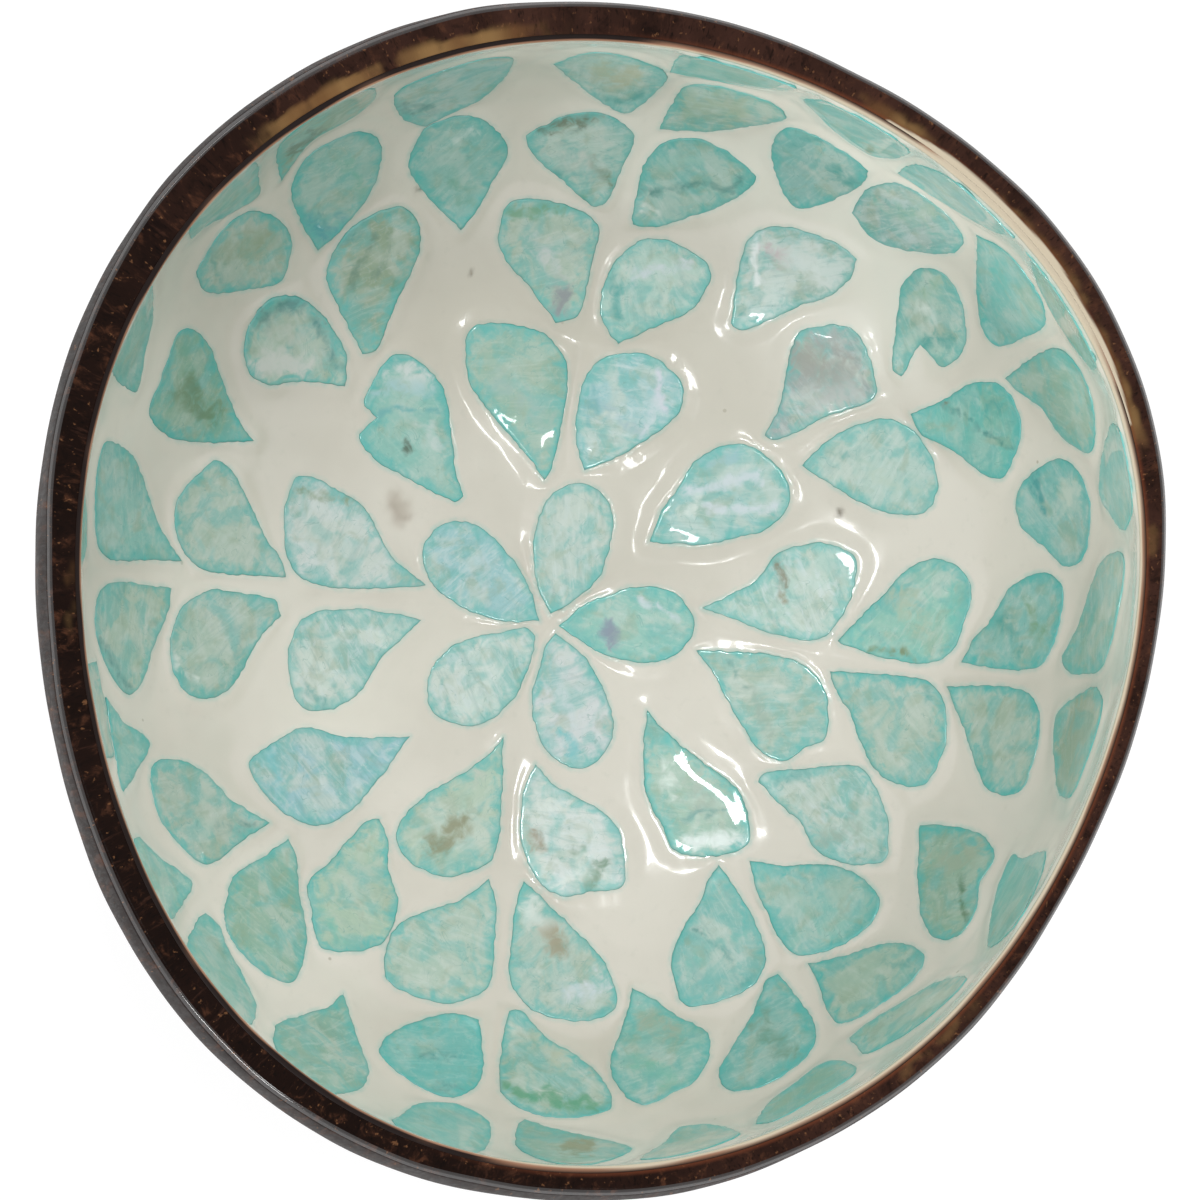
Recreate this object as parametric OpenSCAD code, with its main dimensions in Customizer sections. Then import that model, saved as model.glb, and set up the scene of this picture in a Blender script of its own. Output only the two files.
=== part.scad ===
// A coconut shell bowl with a lacquer lining and a mosaic of mother-of-pearl petals and leaves.
// The origin is the centre of the sanded foot. +X is the right of the picture and +Y is its top.

/* [Bowl] */
// Height from the table to the rim
bowl_height = 62; // [54:1:72]
// Mean radius of the shell at its belly, the widest place
belly_radius = 70.4; // [62:0.1:80]
// Depth of the belly below the rim
belly_drop = 16; // [12:1:22]
// How far the wall turns in between the belly and the rim
rim_turn_in = 1.9; // [0.5:0.1:3]
// Width of the flat sanded on the bottom, on which the bowl stands
foot_width = 40; // [30:1:50]

/* [Shell] */
// Thickness of the coconut shell in its walls
shell_wall = 3.1; // [2.5:0.1:4]
// Thickness of the coconut shell between the foot and the hollow
shell_bottom = 3.6; // [3:0.1:5]
// How far the outside of the rim lies to the left of the hollow
outside_left = 0.55; // [0:0.05:0.8]
// How far the outside of the rim lies behind the hollow
outside_back = 0.7; // [0:0.05:0.8]
// Width of the worn outer edge of the rim
rim_wear = 0.7; // [0.4:0.1:1]

/* [Lining] */
// Thickness of the lacquer that lines the hollow
lining_thickness = 0.8; // [0.6:0.1:1.2]
// Width of the rounded edge of the lining at the rim
lining_round = 0.3; // [0.1:0.05:0.5]

/* [Mosaic] */
// Thickness of one piece of mother-of-pearl
pearl_thickness = 0.4; // [0.3:0.05:0.8]
// Bed of lacquer between the lining and each piece
pearl_bed = 0.3; // [0.25:0.05:0.5]
// How far below the rim the pieces are trimmed
rim_margin = 1.2; // [1:0.1:3]

/* [Hidden] */
// Power of the profile: 2 is an ellipse, and more makes a flatter bottom with fuller walls
profile_power = 2.2;
// Lobes of the outline: how many, their share of the radius, and the direction of the first one
lobe_shares = [[2, 0.030, 85], [3, 0.0214, 17.5], [4, 0.0043, 33], [5, 0.0037, 17]];
// The worn outer edge of the rim, as shares of its width in from the side and down from the top
wear_shares = [[0.3, 0.3], [1, 0]];
// Flats round the bowl, rings from the bottom to the belly, and rings from the belly to the rim
flats = 64;
basin_steps = 12;
neck_steps = 3;

// The view in which the mosaic is laid out: how far it leans off the vertical, in degrees, its
// distance as a share of the belly's width, and the pixels of the middle and the radius of the mouth
lean_left = 7;
lean_front = 1.5;
view_distance_share = 3.4;
rim_pixel = [612, 595];
mouth_radius_pixels = 555.5;
// Points on each stretch of an outline, and halvings in the search for the lining behind a pixel
stretch_points = 2;
search_steps = 20;
// Leaves in one node, which are neighbours on their stem
leaves_per_node = 2;

// Outlines of the mosaic's pieces, clockwise in pixels of the picture, each from its sharp tip.
// Where the near wall hides a point, a third number lifts it up the wall by a share of the height.
// Petals of the flower, from its top petal round to the right
flower_pixels = [
    [[550, 614], [538, 590], [533, 555], [537, 520], [552, 494],
     [578, 483], [604, 494], [613, 523], [607, 555], [590, 588]],
    [[558, 626], [580, 607], [610, 594], [645, 586], [675, 594],
     [694, 620], [688, 643], [668, 659], [640, 663], [600, 653]],
    [[555, 633], [583, 656], [600, 684], [613, 718], [608, 748], [590, 766],
     [566, 767], [544, 748], [532, 715], [535, 680], [545, 648]],
    [[535, 636], [528, 668], [512, 700], [490, 720], [464, 726], [433, 714],
     [426, 688], [436, 661], [462, 641], [500, 632], [525, 629]],
    [[539, 621], [508, 622], [474, 613], [442, 595], [426, 573], [422, 548],
     [438, 526], [463, 522], [486, 532], [510, 556], [528, 586]],
];
// Leaves on the stem that runs left from the flower
west_pixels = [
    [[424, 585], [390, 588], [335, 588], [300, 578], [284, 550], [283, 510],
     [292, 480], [308, 476], [340, 492], [366, 511], [383, 545], [402, 567]],
    [[421, 620], [397, 642], [376, 664], [362, 689], [338, 706], [308, 712],
     [292, 695], [286, 665], [291, 634], [310, 614], [350, 609], [390, 613]],
    [[284, 577], [240, 575], [205, 571], [183, 554], [172, 525], [176, 496],
     [196, 474], [213, 460], [232, 474], [250, 508], [265, 540], [280, 560]],
    [[279, 616], [258, 638], [244, 662], [228, 688], [200, 700], [178, 687],
     [168, 660], [170, 628], [184, 602], [210, 590], [245, 594], [272, 599]],
    [[179, 561], [140, 560], [111, 560], [95, 548], [91, 515], [93, 470],
     [100, 443], [114, 443], [131, 458], [142, 485], [152, 515], [166, 543]],
    [[168, 589], [165, 612], [150, 648], [141, 678], [125, 696], [106, 673],
     [93, 640], [91, 612], [99, 587], [118, 582], [145, 585]],
    [[89, 548, 0.04], [88, 570, 0.08], [86, 556, 0.18], [85, 530, 0.26],
     [86, 502, 0.22], [88, 484, 0.1], [89, 512, 0.04]],
    [[92, 662], [98, 690], [104, 722], [109, 758],
     [104, 744, 0.12], [98, 712, 0.22], [92, 684, 0.2], [90, 668, 0.1]],
];
// Leaves left of the flower and below that stem
lower_west_pixels = [
    [[409, 737], [390, 763], [360, 800], [335, 821], [308, 826], [279, 812],
     [258, 788], [247, 764], [268, 746], [303, 728], [340, 737], [375, 738]],
    [[268, 824], [240, 842], [222, 857], [203, 866], [180, 850], [158, 822],
     [149, 795], [147, 775], [152, 763], [178, 761], [205, 776], [228, 800]],
    [[102, 698], [120, 722], [141, 737], [146, 748],
     [136, 767], [119, 792], [112, 760], [106, 725]],
    [[133, 838], [155, 858], [182, 877], [189, 887], [181, 903],
     [173, 915, 0.06], [162, 900, 0.16], [149, 872, 0.2], [137, 850, 0.12]],
];
// Leaves towards the lower left
south_west_pixels = [
    [[286, 840], [295, 860], [297, 895], [304, 930], [302, 962], [288, 985],
     [260, 974], [236, 951], [222, 924], [225, 895], [232, 877], [262, 857]],
    [[378, 820], [387, 845], [387, 870], [397, 905], [386, 938], [370, 950], [345, 954],
     [318, 947], [309, 910], [306, 885], [322, 868], [340, 850], [362, 824]],
    [[202, 915], [217, 928], [224, 950], [240, 977], [253, 1007], [252, 1020, 0.04],
     [240, 1010, 0.14], [224, 986, 0.18], [206, 963, 0.18], [194, 942, 0.1], [193, 924]],
    [[342, 994], [350, 1026], [360, 1052], [367, 1076], [358, 1084, 0.04], [325, 1076, 0.13],
     [297, 1062, 0.14], [276, 1044, 0.05], [275, 1027], [300, 1018], [328, 1008]],
];
// Leaves on the stem that runs down from the flower
south_pixels = [
    [[503, 737], [502, 780], [500, 820], [494, 855], [472, 872], [440, 878],
     [408, 862], [395, 842], [402, 818], [425, 796], [455, 778], [485, 758]],
    [[535, 765], [556, 787], [600, 811], [620, 835], [625, 870], [622, 888],
     [595, 893], [565, 897], [540, 884], [522, 850], [520, 815], [526, 784]],
    [[488, 880], [495, 905], [494, 945], [489, 985], [468, 1001], [440, 1005],
     [405, 995], [384, 978], [385, 950], [399, 925], [430, 911], [462, 900]],
    [[523, 882], [545, 902], [575, 932], [600, 958], [615, 990], [614, 1012],
     [585, 1023], [550, 1020], [522, 1004], [509, 978], [512, 930], [516, 900]],
    [[478, 1022], [482, 1055], [480, 1082], [462, 1098], [438, 1099], [405, 1082],
     [382, 1062], [378, 1050], [393, 1033], [420, 1023], [448, 1015]],
    [[508, 1013], [523, 1014], [545, 1040], [575, 1057], [596, 1075], [611, 1097],
     [605, 1115], [565, 1122], [525, 1114], [500, 1093], [500, 1060], [504, 1030]],
    [[391, 1119, 0.04], [415, 1108], [445, 1106], [472, 1114],
     [489, 1128], [484, 1146, 0.04], [455, 1142, 0.14], [417, 1129, 0.14]],
    [[524, 1123], [555, 1133], [600, 1143], [633, 1153], [605, 1166],
     [572, 1170], [535, 1162], [516, 1150], [517, 1130]],
];
// Leaves towards the lower right
south_east_pixels = [
    [[647, 711], [672, 737], [705, 764], [735, 787], [748, 815], [750, 842],
     [725, 856], [692, 857], [670, 848], [664, 830], [648, 800], [643, 760]],
    [[759, 783], [766, 774], [810, 769], [855, 766], [872, 780], [887, 812],
     [890, 840], [884, 863], [850, 865], [818, 852], [802, 825], [778, 802]],
    [[719, 866], [738, 893], [756, 925], [766, 955], [760, 980], [738, 997],
     [692, 1009], [678, 995], [672, 962], [682, 932], [697, 910], [707, 885]],
    [[750, 862], [785, 867], [825, 866], [860, 877], [882, 902], [870, 928],
     [840, 948], [805, 957], [785, 947], [768, 915], [756, 890]],
    [[632, 990], [655, 1002], [678, 1018], [705, 1033], [711, 1052], [698, 1082],
     [668, 1099], [643, 1108], [620, 1092], [610, 1066], [619, 1038], [627, 1015]],
    [[779, 976], [797, 998], [815, 1023], [817, 1046], [798, 1069], [765, 1089],
     [730, 1094], [719, 1075], [732, 1052], [747, 1028], [760, 1000], [767, 983]],
    [[810, 966], [845, 958], [885, 946], [915, 948], [927, 962],
     [916, 982], [885, 1006], [850, 1025], [832, 1020], [823, 995]],
    [[922, 827], [945, 826], [985, 837], [997, 862], [982, 885],
     [980, 910], [962, 938], [938, 940], [923, 915], [920, 870]],
    [[1015, 857], [1030, 859], [1048, 853], [1047, 872], [1030, 912],
     [1010, 938], [992, 950], [994, 925], [1001, 890]],
    [[852, 1041], [870, 1026], [905, 1005], [940, 985], [970, 980],
     [955, 1000], [920, 1030], [890, 1048], [866, 1057]],
    [[757, 1127], [770, 1107], [800, 1084], [832, 1064],
     [859, 1072], [845, 1087], [810, 1107], [775, 1126]],
    [[680, 1131], [710, 1128], [741, 1137], [722, 1148], [685, 1159], [641, 1164], [662, 1149]],
];
// Leaves on the stem that runs right from the flower
east_pixels = [
    [[703, 608], [735, 592], [760, 577], [775, 556], [800, 545], [828, 544],
     [855, 555], [856, 580], [845, 612], [825, 636], [798, 640], [750, 626]],
    [[697, 651], [740, 652], [785, 658], [815, 674], [828, 702], [826, 738],
     [806, 748], [783, 762], [755, 745], [730, 705], [710, 668]],
    [[839, 641], [860, 619], [885, 594], [910, 568], [940, 559], [965, 572],
     [974, 592], [966, 622], [954, 652], [925, 664], [875, 656]],
    [[831, 672], [880, 675], [925, 680], [944, 700], [949, 730], [940, 765],
     [922, 787], [890, 781], [868, 758], [852, 715], [836, 690]],
    [[963, 663], [975, 640], [995, 617], [1010, 590], [1030, 577], [1050, 573],
     [1065, 585], [1066, 608], [1055, 648], [1040, 668], [1005, 670]],
    [[948, 687], [1000, 687], [1030, 694], [1042, 712], [1041, 745],
     [1027, 788], [1005, 797], [985, 783], [971, 745], [960, 715]],
    [[1065, 657], [1080, 630], [1092, 595], [1105, 563], [1124, 551],
     [1129, 570], [1122, 615], [1112, 655], [1100, 673], [1072, 673]],
    [[1099, 688], [1107, 702], [1102, 730], [1090, 765], [1075, 798],
     [1062, 793], [1058, 760], [1059, 720], [1078, 699]],
];
// Leaves right of the flower and above that stem
upper_east_pixels = [
    [[765, 435], [780, 405], [788, 365], [798, 333], [820, 325], [848, 325],
     [866, 345], [878, 388], [868, 402], [830, 415], [782, 438]],
    [[803, 465], [828, 440], [860, 424], [892, 418], [922, 438],
     [938, 475], [932, 508], [905, 515], [872, 507], [835, 487]],
    [[905, 374], [893, 365], [899, 320], [903, 285], [920, 267], [945, 270],
     [960, 292], [968, 320], [965, 350], [942, 365], [922, 343]],
    [[980, 233], [1000, 242], [1022, 262], [1045, 298], [1047, 324],
     [1022, 338], [1000, 344], [985, 328], [979, 285]],
    [[912, 413], [945, 399], [970, 383], [995, 381], [1015, 397], [1024, 425],
     [1018, 452], [1005, 477], [985, 473], [958, 452], [925, 435]],
    [[1008, 377], [1035, 356], [1058, 346], [1076, 357], [1092, 385], [1099, 420],
     [1097, 448], [1085, 450], [1062, 432], [1045, 408], [1020, 389]],
    [[1037, 471], [1060, 458], [1080, 468], [1093, 500], [1092, 540], [1083, 563],
     [1065, 564], [1045, 545], [1025, 528], [1018, 505], [1024, 484]],
    [[1115, 424], [1128, 430], [1135, 470], [1137, 508],
     [1128, 530], [1113, 512], [1103, 490], [1107, 450]],
    [[1030, 248], [1055, 280], [1080, 310], [1097, 345],
     [1098, 368], [1080, 348], [1060, 318], [1042, 283]],
];
// Leaves towards the upper right
north_east_pixels = [
    [[650, 541], [662, 510], [680, 485], [698, 458], [735, 443], [768, 456],
     [787, 482], [789, 505], [768, 528], [735, 538], [700, 545]],
    [[732, 321], [736, 290], [742, 255], [754, 233], [778, 224],
     [825, 236], [858, 257], [840, 288], [800, 305], [746, 329]],
    [[772, 150], [778, 131], [796, 124], [835, 142], [870, 168],
     [852, 189], [815, 204], [795, 203], [780, 180]],
    [[853, 210], [868, 188], [900, 180], [942, 205],
     [965, 234], [956, 250], [925, 250], [880, 240]],
    [[805, 96], [830, 98], [880, 122], [912, 148], [880, 154], [840, 130]],
    [[900, 170], [918, 161], [962, 178], [1004, 213], [1021, 231], [1003, 231], [955, 205]],
];
// Leaves on the stem that runs up from the flower
north_pixels = [
    [[544, 480], [520, 447], [490, 412], [468, 380], [465, 342], [476, 324],
     [510, 323], [545, 334], [567, 365], [565, 400], [558, 440], [551, 468]],
    [[584, 470], [576, 440], [578, 400], [590, 368], [612, 354], [640, 353],
     [662, 361], [683, 385], [678, 412], [650, 437], [612, 459]],
    [[555, 322], [530, 287], [507, 262], [498, 235], [505, 205],
     [522, 197], [560, 201], [597, 222], [592, 260], [579, 312]],
    [[618, 343], [602, 320], [603, 285], [620, 255], [648, 237],
     [680, 244], [706, 260], [710, 280], [690, 310], [650, 328]],
    [[592, 205], [560, 177], [535, 155], [525, 133], [548, 120],
     [575, 110], [608, 112], [634, 133], [622, 165], [606, 200]],
    [[632, 223], [640, 175], [655, 146], [685, 135], [718, 143],
     [756, 174], [732, 198], [690, 215], [655, 225]],
    [[553, 60], [590, 48], [630, 53], [667, 70], [652, 92], [625, 109], [590, 90]],
    [[660, 126], [678, 90], [698, 80], [735, 86], [775, 100], [787, 115], [755, 122], [710, 128]],
    [[670, 68], [678, 54], [700, 51], [760, 63], [800, 79], [784, 86], [730, 79]],
];
// Leaves towards the upper left
north_west_pixels = [
    [[463, 495], [450, 500], [410, 480], [374, 459], [358, 434], [375, 417], [363, 402],
     [377, 371], [398, 353], [424, 365], [445, 395], [451, 440], [456, 475]],
    [[361, 353], [345, 322], [325, 280], [331, 252], [350, 226], [378, 209],
     [403, 205], [418, 225], [417, 255], [398, 295], [377, 345]],
    [[460, 227], [435, 203], [412, 175], [409, 152], [425, 125],
     [458, 113], [486, 119], [508, 147], [492, 178], [474, 213]],
    [[425, 123], [402, 116], [393, 98], [402, 83], [440, 67], [480, 55],
     [508, 53], [512, 60], [500, 78], [478, 97], [446, 112]],
    [[343, 385], [300, 380], [268, 384], [246, 370], [242, 340],
     [255, 310], [277, 294], [305, 300], [330, 325], [345, 355]],
    [[251, 440], [210, 442], [175, 439], [155, 428], [146, 408], [155, 385], [167, 350],
     [175, 330], [190, 328], [207, 345], [218, 375], [228, 400], [240, 425]],
    [[316, 249], [300, 222], [289, 190], [295, 168], [308, 151], [330, 138],
     [355, 129], [376, 135], [379, 156], [373, 182], [358, 206], [335, 232]],
    [[279, 178], [276, 150, 0.03], [300, 131, 0.1], [340, 106, 0.15], [366, 92, 0.08], [375, 90],
     [368, 100], [352, 113], [335, 123], [313, 135], [296, 153]],
    [[193, 270], [208, 243], [228, 219], [250, 209], [270, 213],
     [289, 235], [281, 277], [250, 287], [205, 291]],
    [[255, 164, 0.03], [257, 190], [235, 207], [205, 222],
     [187, 236], [197, 216, 0.12], [218, 194, 0.2], [240, 174, 0.13]],
    [[151, 288, 0.02], [149, 320], [141, 355], [137, 378], [131, 391],
     [118, 380, 0.06], [122, 355, 0.18], [133, 322, 0.22], [144, 298, 0.12]],
];

sprays = [
    ["west", west_pixels],
    ["lower_west", lower_west_pixels],
    ["south_west", south_west_pixels],
    ["south", south_pixels],
    ["south_east", south_east_pixels],
    ["east", east_pixels],
    ["upper_east", upper_east_pixels],
    ["north_east", north_east_pixels],
    ["north", north_pixels],
    ["north_west", north_west_pixels],
];
function petal_name(i) = str("flower_petal_", i);
function leaves_name(spray, i) = str(spray[0], "_leaves_", i);
function leaf_nodes(spray) = ceil(len(spray[1]) / leaves_per_node);

// A surface of the bowl is its mean radius at the belly and its depth below the belly: the outside,
// the hollow that the shell leaves, and the face of the lining
belly_height = bowl_height - belly_drop;
foot_radius = foot_width / 2;
foot_drop_share = pow(1 - pow(foot_radius / belly_radius, profile_power), 1 / profile_power);
outside = [belly_radius, belly_height / foot_drop_share];
hollow = [belly_radius - shell_wall, belly_height - shell_bottom];
face = [hollow.x - lining_thickness, hollow.y - lining_thickness];
rim_offset = [-outside_left, outside_back];

// Radius in one direction for a mean radius: the lobes fade towards the bottom
function lobe_sum(angle, i = 0) =
    i == len(lobe_shares) ? 0
    : lobe_shares[i][1] * cos(lobe_shares[i][0] * (angle - lobe_shares[i][2])) + lobe_sum(angle, i + 1);
function lobed(radius, angle) = radius * (1 + radius / belly_radius * lobe_sum(angle));

// Mean radius of a surface at a height
function neck_radius(surface, z) = surface.x - rim_turn_in * pow((z - belly_height) / belly_drop, 2);
function basin_radius(surface, drop_share) =
    drop_share < 1 ? surface.x * pow(1 - pow(drop_share, profile_power), 1 / profile_power) : 0;
function mean_radius(surface, z) =
    z > belly_height ? neck_radius(surface, z) : basin_radius(surface, (belly_height - z) / surface.y);

// Rings of a surface from the bottom to a top height, each as its mean radius, height and offset
function basin_ring(surface, angle) = [
    surface.x * pow(cos(angle), 2 / profile_power),
    belly_height - surface.y * pow(sin(angle), 2 / profile_power)
];
function basin_rings(surface, lowest_angle) =
    [for (i = [basin_steps : -1 : 1]) basin_ring(surface, lowest_angle * i / basin_steps)];
function neck_rings(surface, top) = [
    for (i = [0 : neck_steps])
        let (z = belly_height + (top - belly_height) * i / neck_steps)
        [neck_radius(surface, z), z]
];
function inner_rings(surface, top) =
    let (first_angle = 90 * (basin_steps - 1) / basin_steps)
    concat(basin_rings(surface, first_angle), neck_rings(surface, top));
function outer_rings(top) =
    let (foot_angle = acos(pow(foot_radius / belly_radius, profile_power / 2)))
    concat(basin_rings(outside, foot_angle), neck_rings(outside, top));
function reversed(list) = [for (i = [len(list) - 1 : -1 : 0]) list[i]];

// A ring's points; the outside leans to one side of the hollow as it rises
function ring_points(ring, lean) = [
    for (i = [0 : flats - 1])
        let (angle = i * 360 / flats, radius = lobed(ring[0], angle), shift = lean * ring[1] / bowl_height)
        [radius * cos(angle) + shift.x, radius * sin(angle) + shift.y, ring[1]]
];
function loop_points(rings, lean) = [for (ring = rings) each ring_points(ring, lean)];

// Joins rings, from the first to the last, into a skin; the first ring is closed by a flat face or
// by a low point, and the last ring by a high point
function band_faces(rings) = [
    for (ring = [0 : rings - 2]) for (i = [0 : flats - 1])
        let (a = ring * flats + i, b = ring * flats + (i + 1) % flats)
        each [[a, a + flats, b + flats], [a, b + flats, b]]
];
function low_fan(point) = [for (i = [0 : flats - 1]) [point, i, (i + 1) % flats]];
function high_fan(point, first) = [for (i = [0 : flats - 1]) [point, first + (i + 1) % flats, first + i]];

module coconut_shell() {
    radius = neck_radius(outside, bowl_height);
    worn = [for (share = wear_shares) [radius - rim_wear * share[0], bowl_height - rim_wear * share[1]]];
    outer = concat(outer_rings(bowl_height - rim_wear), worn);
    inner = reversed(inner_rings(hollow, bowl_height));
    rings = len(outer) + len(inner);
    bottom = [0, 0, belly_height - hollow.y];
    points = concat(loop_points(outer, rim_offset), loop_points(inner, [0, 0]), [bottom]);
    foot = [[for (i = [0 : flats - 1]) i]];
    faces = concat(foot, band_faces(rings), high_fan(rings * flats, (rings - 1) * flats));
    color([0.20, 0.12, 0.09]) polyhedron(points, faces);
}

module lacquer_lining() {
    outer = inner_rings(hollow, bowl_height);
    lip = [[neck_radius(face, bowl_height) + lining_round, bowl_height]];
    inner = reversed(inner_rings(face, bowl_height - lining_round));
    rings = len(outer) + len(lip) + len(inner);
    low = [0, 0, belly_height - hollow.y];
    high = [0, 0, belly_height - face.y];
    points = concat(loop_points(concat(outer, lip, inner), [0, 0]), [low, high]);
    faces = concat(
        low_fan(rings * flats),
        band_faces(rings),
        high_fan(rings * flats + 1, (rings - 1) * flats)
    );
    color([0.86, 0.83, 0.76]) polyhedron(points, faces);
}

// The eye above the bowl, and the picture's right and up
function unit(v) = v / norm(v);
to_eye = unit([-tan(lean_left), -tan(lean_front), 1]);
view_distance = 2 * belly_radius * view_distance_share;
eye = [0, 0, bowl_height] + view_distance * to_eye;
picture_right = unit(cross([0, 1, 0], to_eye));
picture_up = cross(to_eye, picture_right);
mm_per_pixel = neck_radius(hollow, bowl_height) / mouth_radius_pixels;

// The point of the lining's face behind a pixel, found by halving the way from the rim to the bottom
function sight(pixel) =
    (pixel.x - rim_pixel.x) * mm_per_pixel * picture_right
    + (rim_pixel.y - pixel.y) * mm_per_pixel * picture_up
    - view_distance * to_eye;
function reach(ray, z) = (z - eye.z) / ray.z;
function is_open(p) = norm([p.x, p.y]) < lobed(mean_radius(face, p.z), atan2(p.y, p.x));
function search(ray, near, far, steps) =
    let (middle = (near + far) / 2)
    steps == 0 ? eye + middle * ray
    : is_open(eye + middle * ray) ? search(ray, middle, far, steps - 1)
    : search(ray, near, middle, steps - 1);
function seen_point(pixel) =
    let (ray = sight(pixel))
    search(ray, reach(ray, bowl_height), reach(ray, belly_height - face.y), search_steps);

// The same point, lifted by its share of the height, and never above the line of the trimming
function wall_point(angle, z) =
    let (radius = lobed(mean_radius(face, z), angle))
    [radius * cos(angle), radius * sin(angle), z];
function on_face(place) =
    let (seen = seen_point(place))
    let (z = min(seen.z + max(place.z, 0) * bowl_height, bowl_height - rim_margin))
    z == seen.z ? seen : wall_point(atan2(seen.y, seen.x), z);

// A smooth closed outline through the given points, with its one corner at the first point
function slope(points, i, leaving) =
    let (count = len(points), before = points[(i + count - 1) % count], after = points[(i + 1) % count])
    i == 0 ? (leaving ? after - points[0] : points[0] - before) : (after - before) / 2;
function blend(a, b, from_a, to_b, share) =
    (2 * pow(share, 3) - 3 * pow(share, 2) + 1) * a
    + (pow(share, 3) - 2 * pow(share, 2) + share) * from_a
    + (3 * pow(share, 2) - 2 * pow(share, 3)) * b
    + (pow(share, 3) - pow(share, 2)) * to_b;
function smooth_outline(points) = [
    for (i = [0 : len(points) - 1]) for (step = [0 : stretch_points - 1])
        let (next = (i + 1) % len(points))
        let (from_i = slope(points, i, true), to_next = slope(points, next, false))
        blend(points[i], points[next], from_i, to_next, step / stretch_points)
];

function mean(points) = [for (i = [0 : len(points) - 1]) 1] * points / len(points);
function face_normal(rim, centre, i = 0) =
    let (next = (i + 1) % len(rim))
    i == len(rim) ? [0, 0, 0]
    : cross(rim[next] - centre, rim[i] - centre) + face_normal(rim, centre, i + 1);

// One thin plate of mother-of-pearl, which follows the lining and keeps one thickness
module pearl(pixels) {
    places = [for (pixel = pixels) [pixel.x, pixel.y, len(pixel) > 2 ? pixel.z : 0]];
    outline = smooth_outline(places);
    count = len(outline);
    rim = [for (place = outline) on_face(place)];
    centre = on_face(mean(places));
    up = unit(face_normal(rim, centre));
    low = [for (p = concat(rim, [centre])) p + pearl_bed * up];
    high = [for (p = low) p + pearl_thickness * up];
    top = count + 1;
    faces = [
        for (i = [0 : count - 1])
            let (next = (i + 1) % count)
            each [
                [top + count, top + i, top + next],
                [count, next, i],
                [top + next, top + i, i],
                [top + next, i, next]
            ]
    ];
    polyhedron(concat(low, high), faces);
}

module flower_petal(i) {
    color([0.58, 0.76, 0.72]) pearl(flower_pixels[i - 1]);
}

module leaves(spray, i) {
    first = (i - 1) * leaves_per_node;
    last = min(first + leaves_per_node, len(spray[1])) - 1;
    color([0.50, 0.73, 0.67]) for (leaf = [first : last]) pearl(spray[1][leaf]);
}

coconut_shell();
lacquer_lining();
for (i = [1 : len(flower_pixels)])
    flower_petal(i);
for (spray = sprays) for (i = [1 : leaf_nodes(spray)])
    leaves(spray, i);
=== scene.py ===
"""Looks of a coconut shell bowl: its shell, its lacquer lining and its mosaic of mother-of-pearl."""
import math

import bmesh
import bpy
import numpy as np
from mathutils import Matrix, Vector
from mathutils.geometry import delaunay_2d_cdt


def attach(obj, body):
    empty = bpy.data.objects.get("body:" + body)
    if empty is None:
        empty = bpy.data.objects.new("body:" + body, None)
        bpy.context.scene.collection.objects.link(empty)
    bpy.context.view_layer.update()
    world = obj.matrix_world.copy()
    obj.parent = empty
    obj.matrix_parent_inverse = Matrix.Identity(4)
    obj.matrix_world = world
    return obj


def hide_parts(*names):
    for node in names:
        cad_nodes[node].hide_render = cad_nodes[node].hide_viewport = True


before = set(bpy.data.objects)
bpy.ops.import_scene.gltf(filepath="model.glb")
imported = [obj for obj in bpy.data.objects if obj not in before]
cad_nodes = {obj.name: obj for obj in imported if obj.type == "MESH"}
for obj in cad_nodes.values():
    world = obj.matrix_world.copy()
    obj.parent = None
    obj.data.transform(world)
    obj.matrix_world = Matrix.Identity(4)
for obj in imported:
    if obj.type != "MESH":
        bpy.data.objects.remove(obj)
scene = bpy.context.scene
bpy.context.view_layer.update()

MM = 0.001

# The bowl's form, in millimetres, as the solids have it
HEIGHT = 62.0
BELLY_HEIGHT = 46.0
BELLY_RADIUS = 70.4
BELLY_DROP = 16.0
TURN_IN = 1.9
POWER = 2.2
FOOT_RADIUS = 20.0
FOOT_SHARE = (1 - (FOOT_RADIUS / BELLY_RADIUS) ** POWER) ** (1 / POWER)
LOBES = [(2, 0.03, 85), (3, 0.0214, 17.5), (4, 0.0043, 33), (5, 0.0037, 17)]
OUTSIDE = (BELLY_RADIUS, BELLY_HEIGHT / FOOT_SHARE)
HOLLOW = (67.3, 42.4)
FACE = (66.5, 41.6)
RIM_OFFSET = np.array([-0.55, 0.7])
RIM_WEAR = 0.7
LIP_ROUND = 0.3

# Heights of the mosaic over the lining's face
PEARL_SIDE_LOW = 0.3
PEARL_EDGE = 0.59
PEARL_TOP = 0.67
PEARL_ROUND = 0.5
LACQUER_AT_PEARL = 0.56
LACQUER_UNDER_PEARL = 0.5
LACQUER_BETWEEN = 0.3
SKIRT = 2.8
LEAST_SKIRT = 0.3

# How far a pearl may tilt, bow and stand off the face, and how far in from its edge it does so in full
PEARL_TILT = 0.014
PEARL_BOW = (0.35, 0.7)
PEARL_LIFT = (-0.12, 0.6)
LIFT_WIDTH = 2.4

# How finely the surfaces are drawn: steps, spacings in millimetres, and points round the bowl
BASIN_STEPS = 400
NECK_STEPS = 60
FACE_SPACING = 0.52
BACK_SPACING = 4
OUTSIDE_SPACING = 1.1
INSIDE_SPACING = 3
LINING_FLATS = 760
SHELL_FLATS = 720
OUTLINE_SPACING = 0.45
OUTLINE_POINTS = 36
STRETCH_POINTS = 10
EDGE_RINGS = (0.15, 0.4)
TOP_SPACING = 0.62
TOP_START = 0.66

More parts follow.
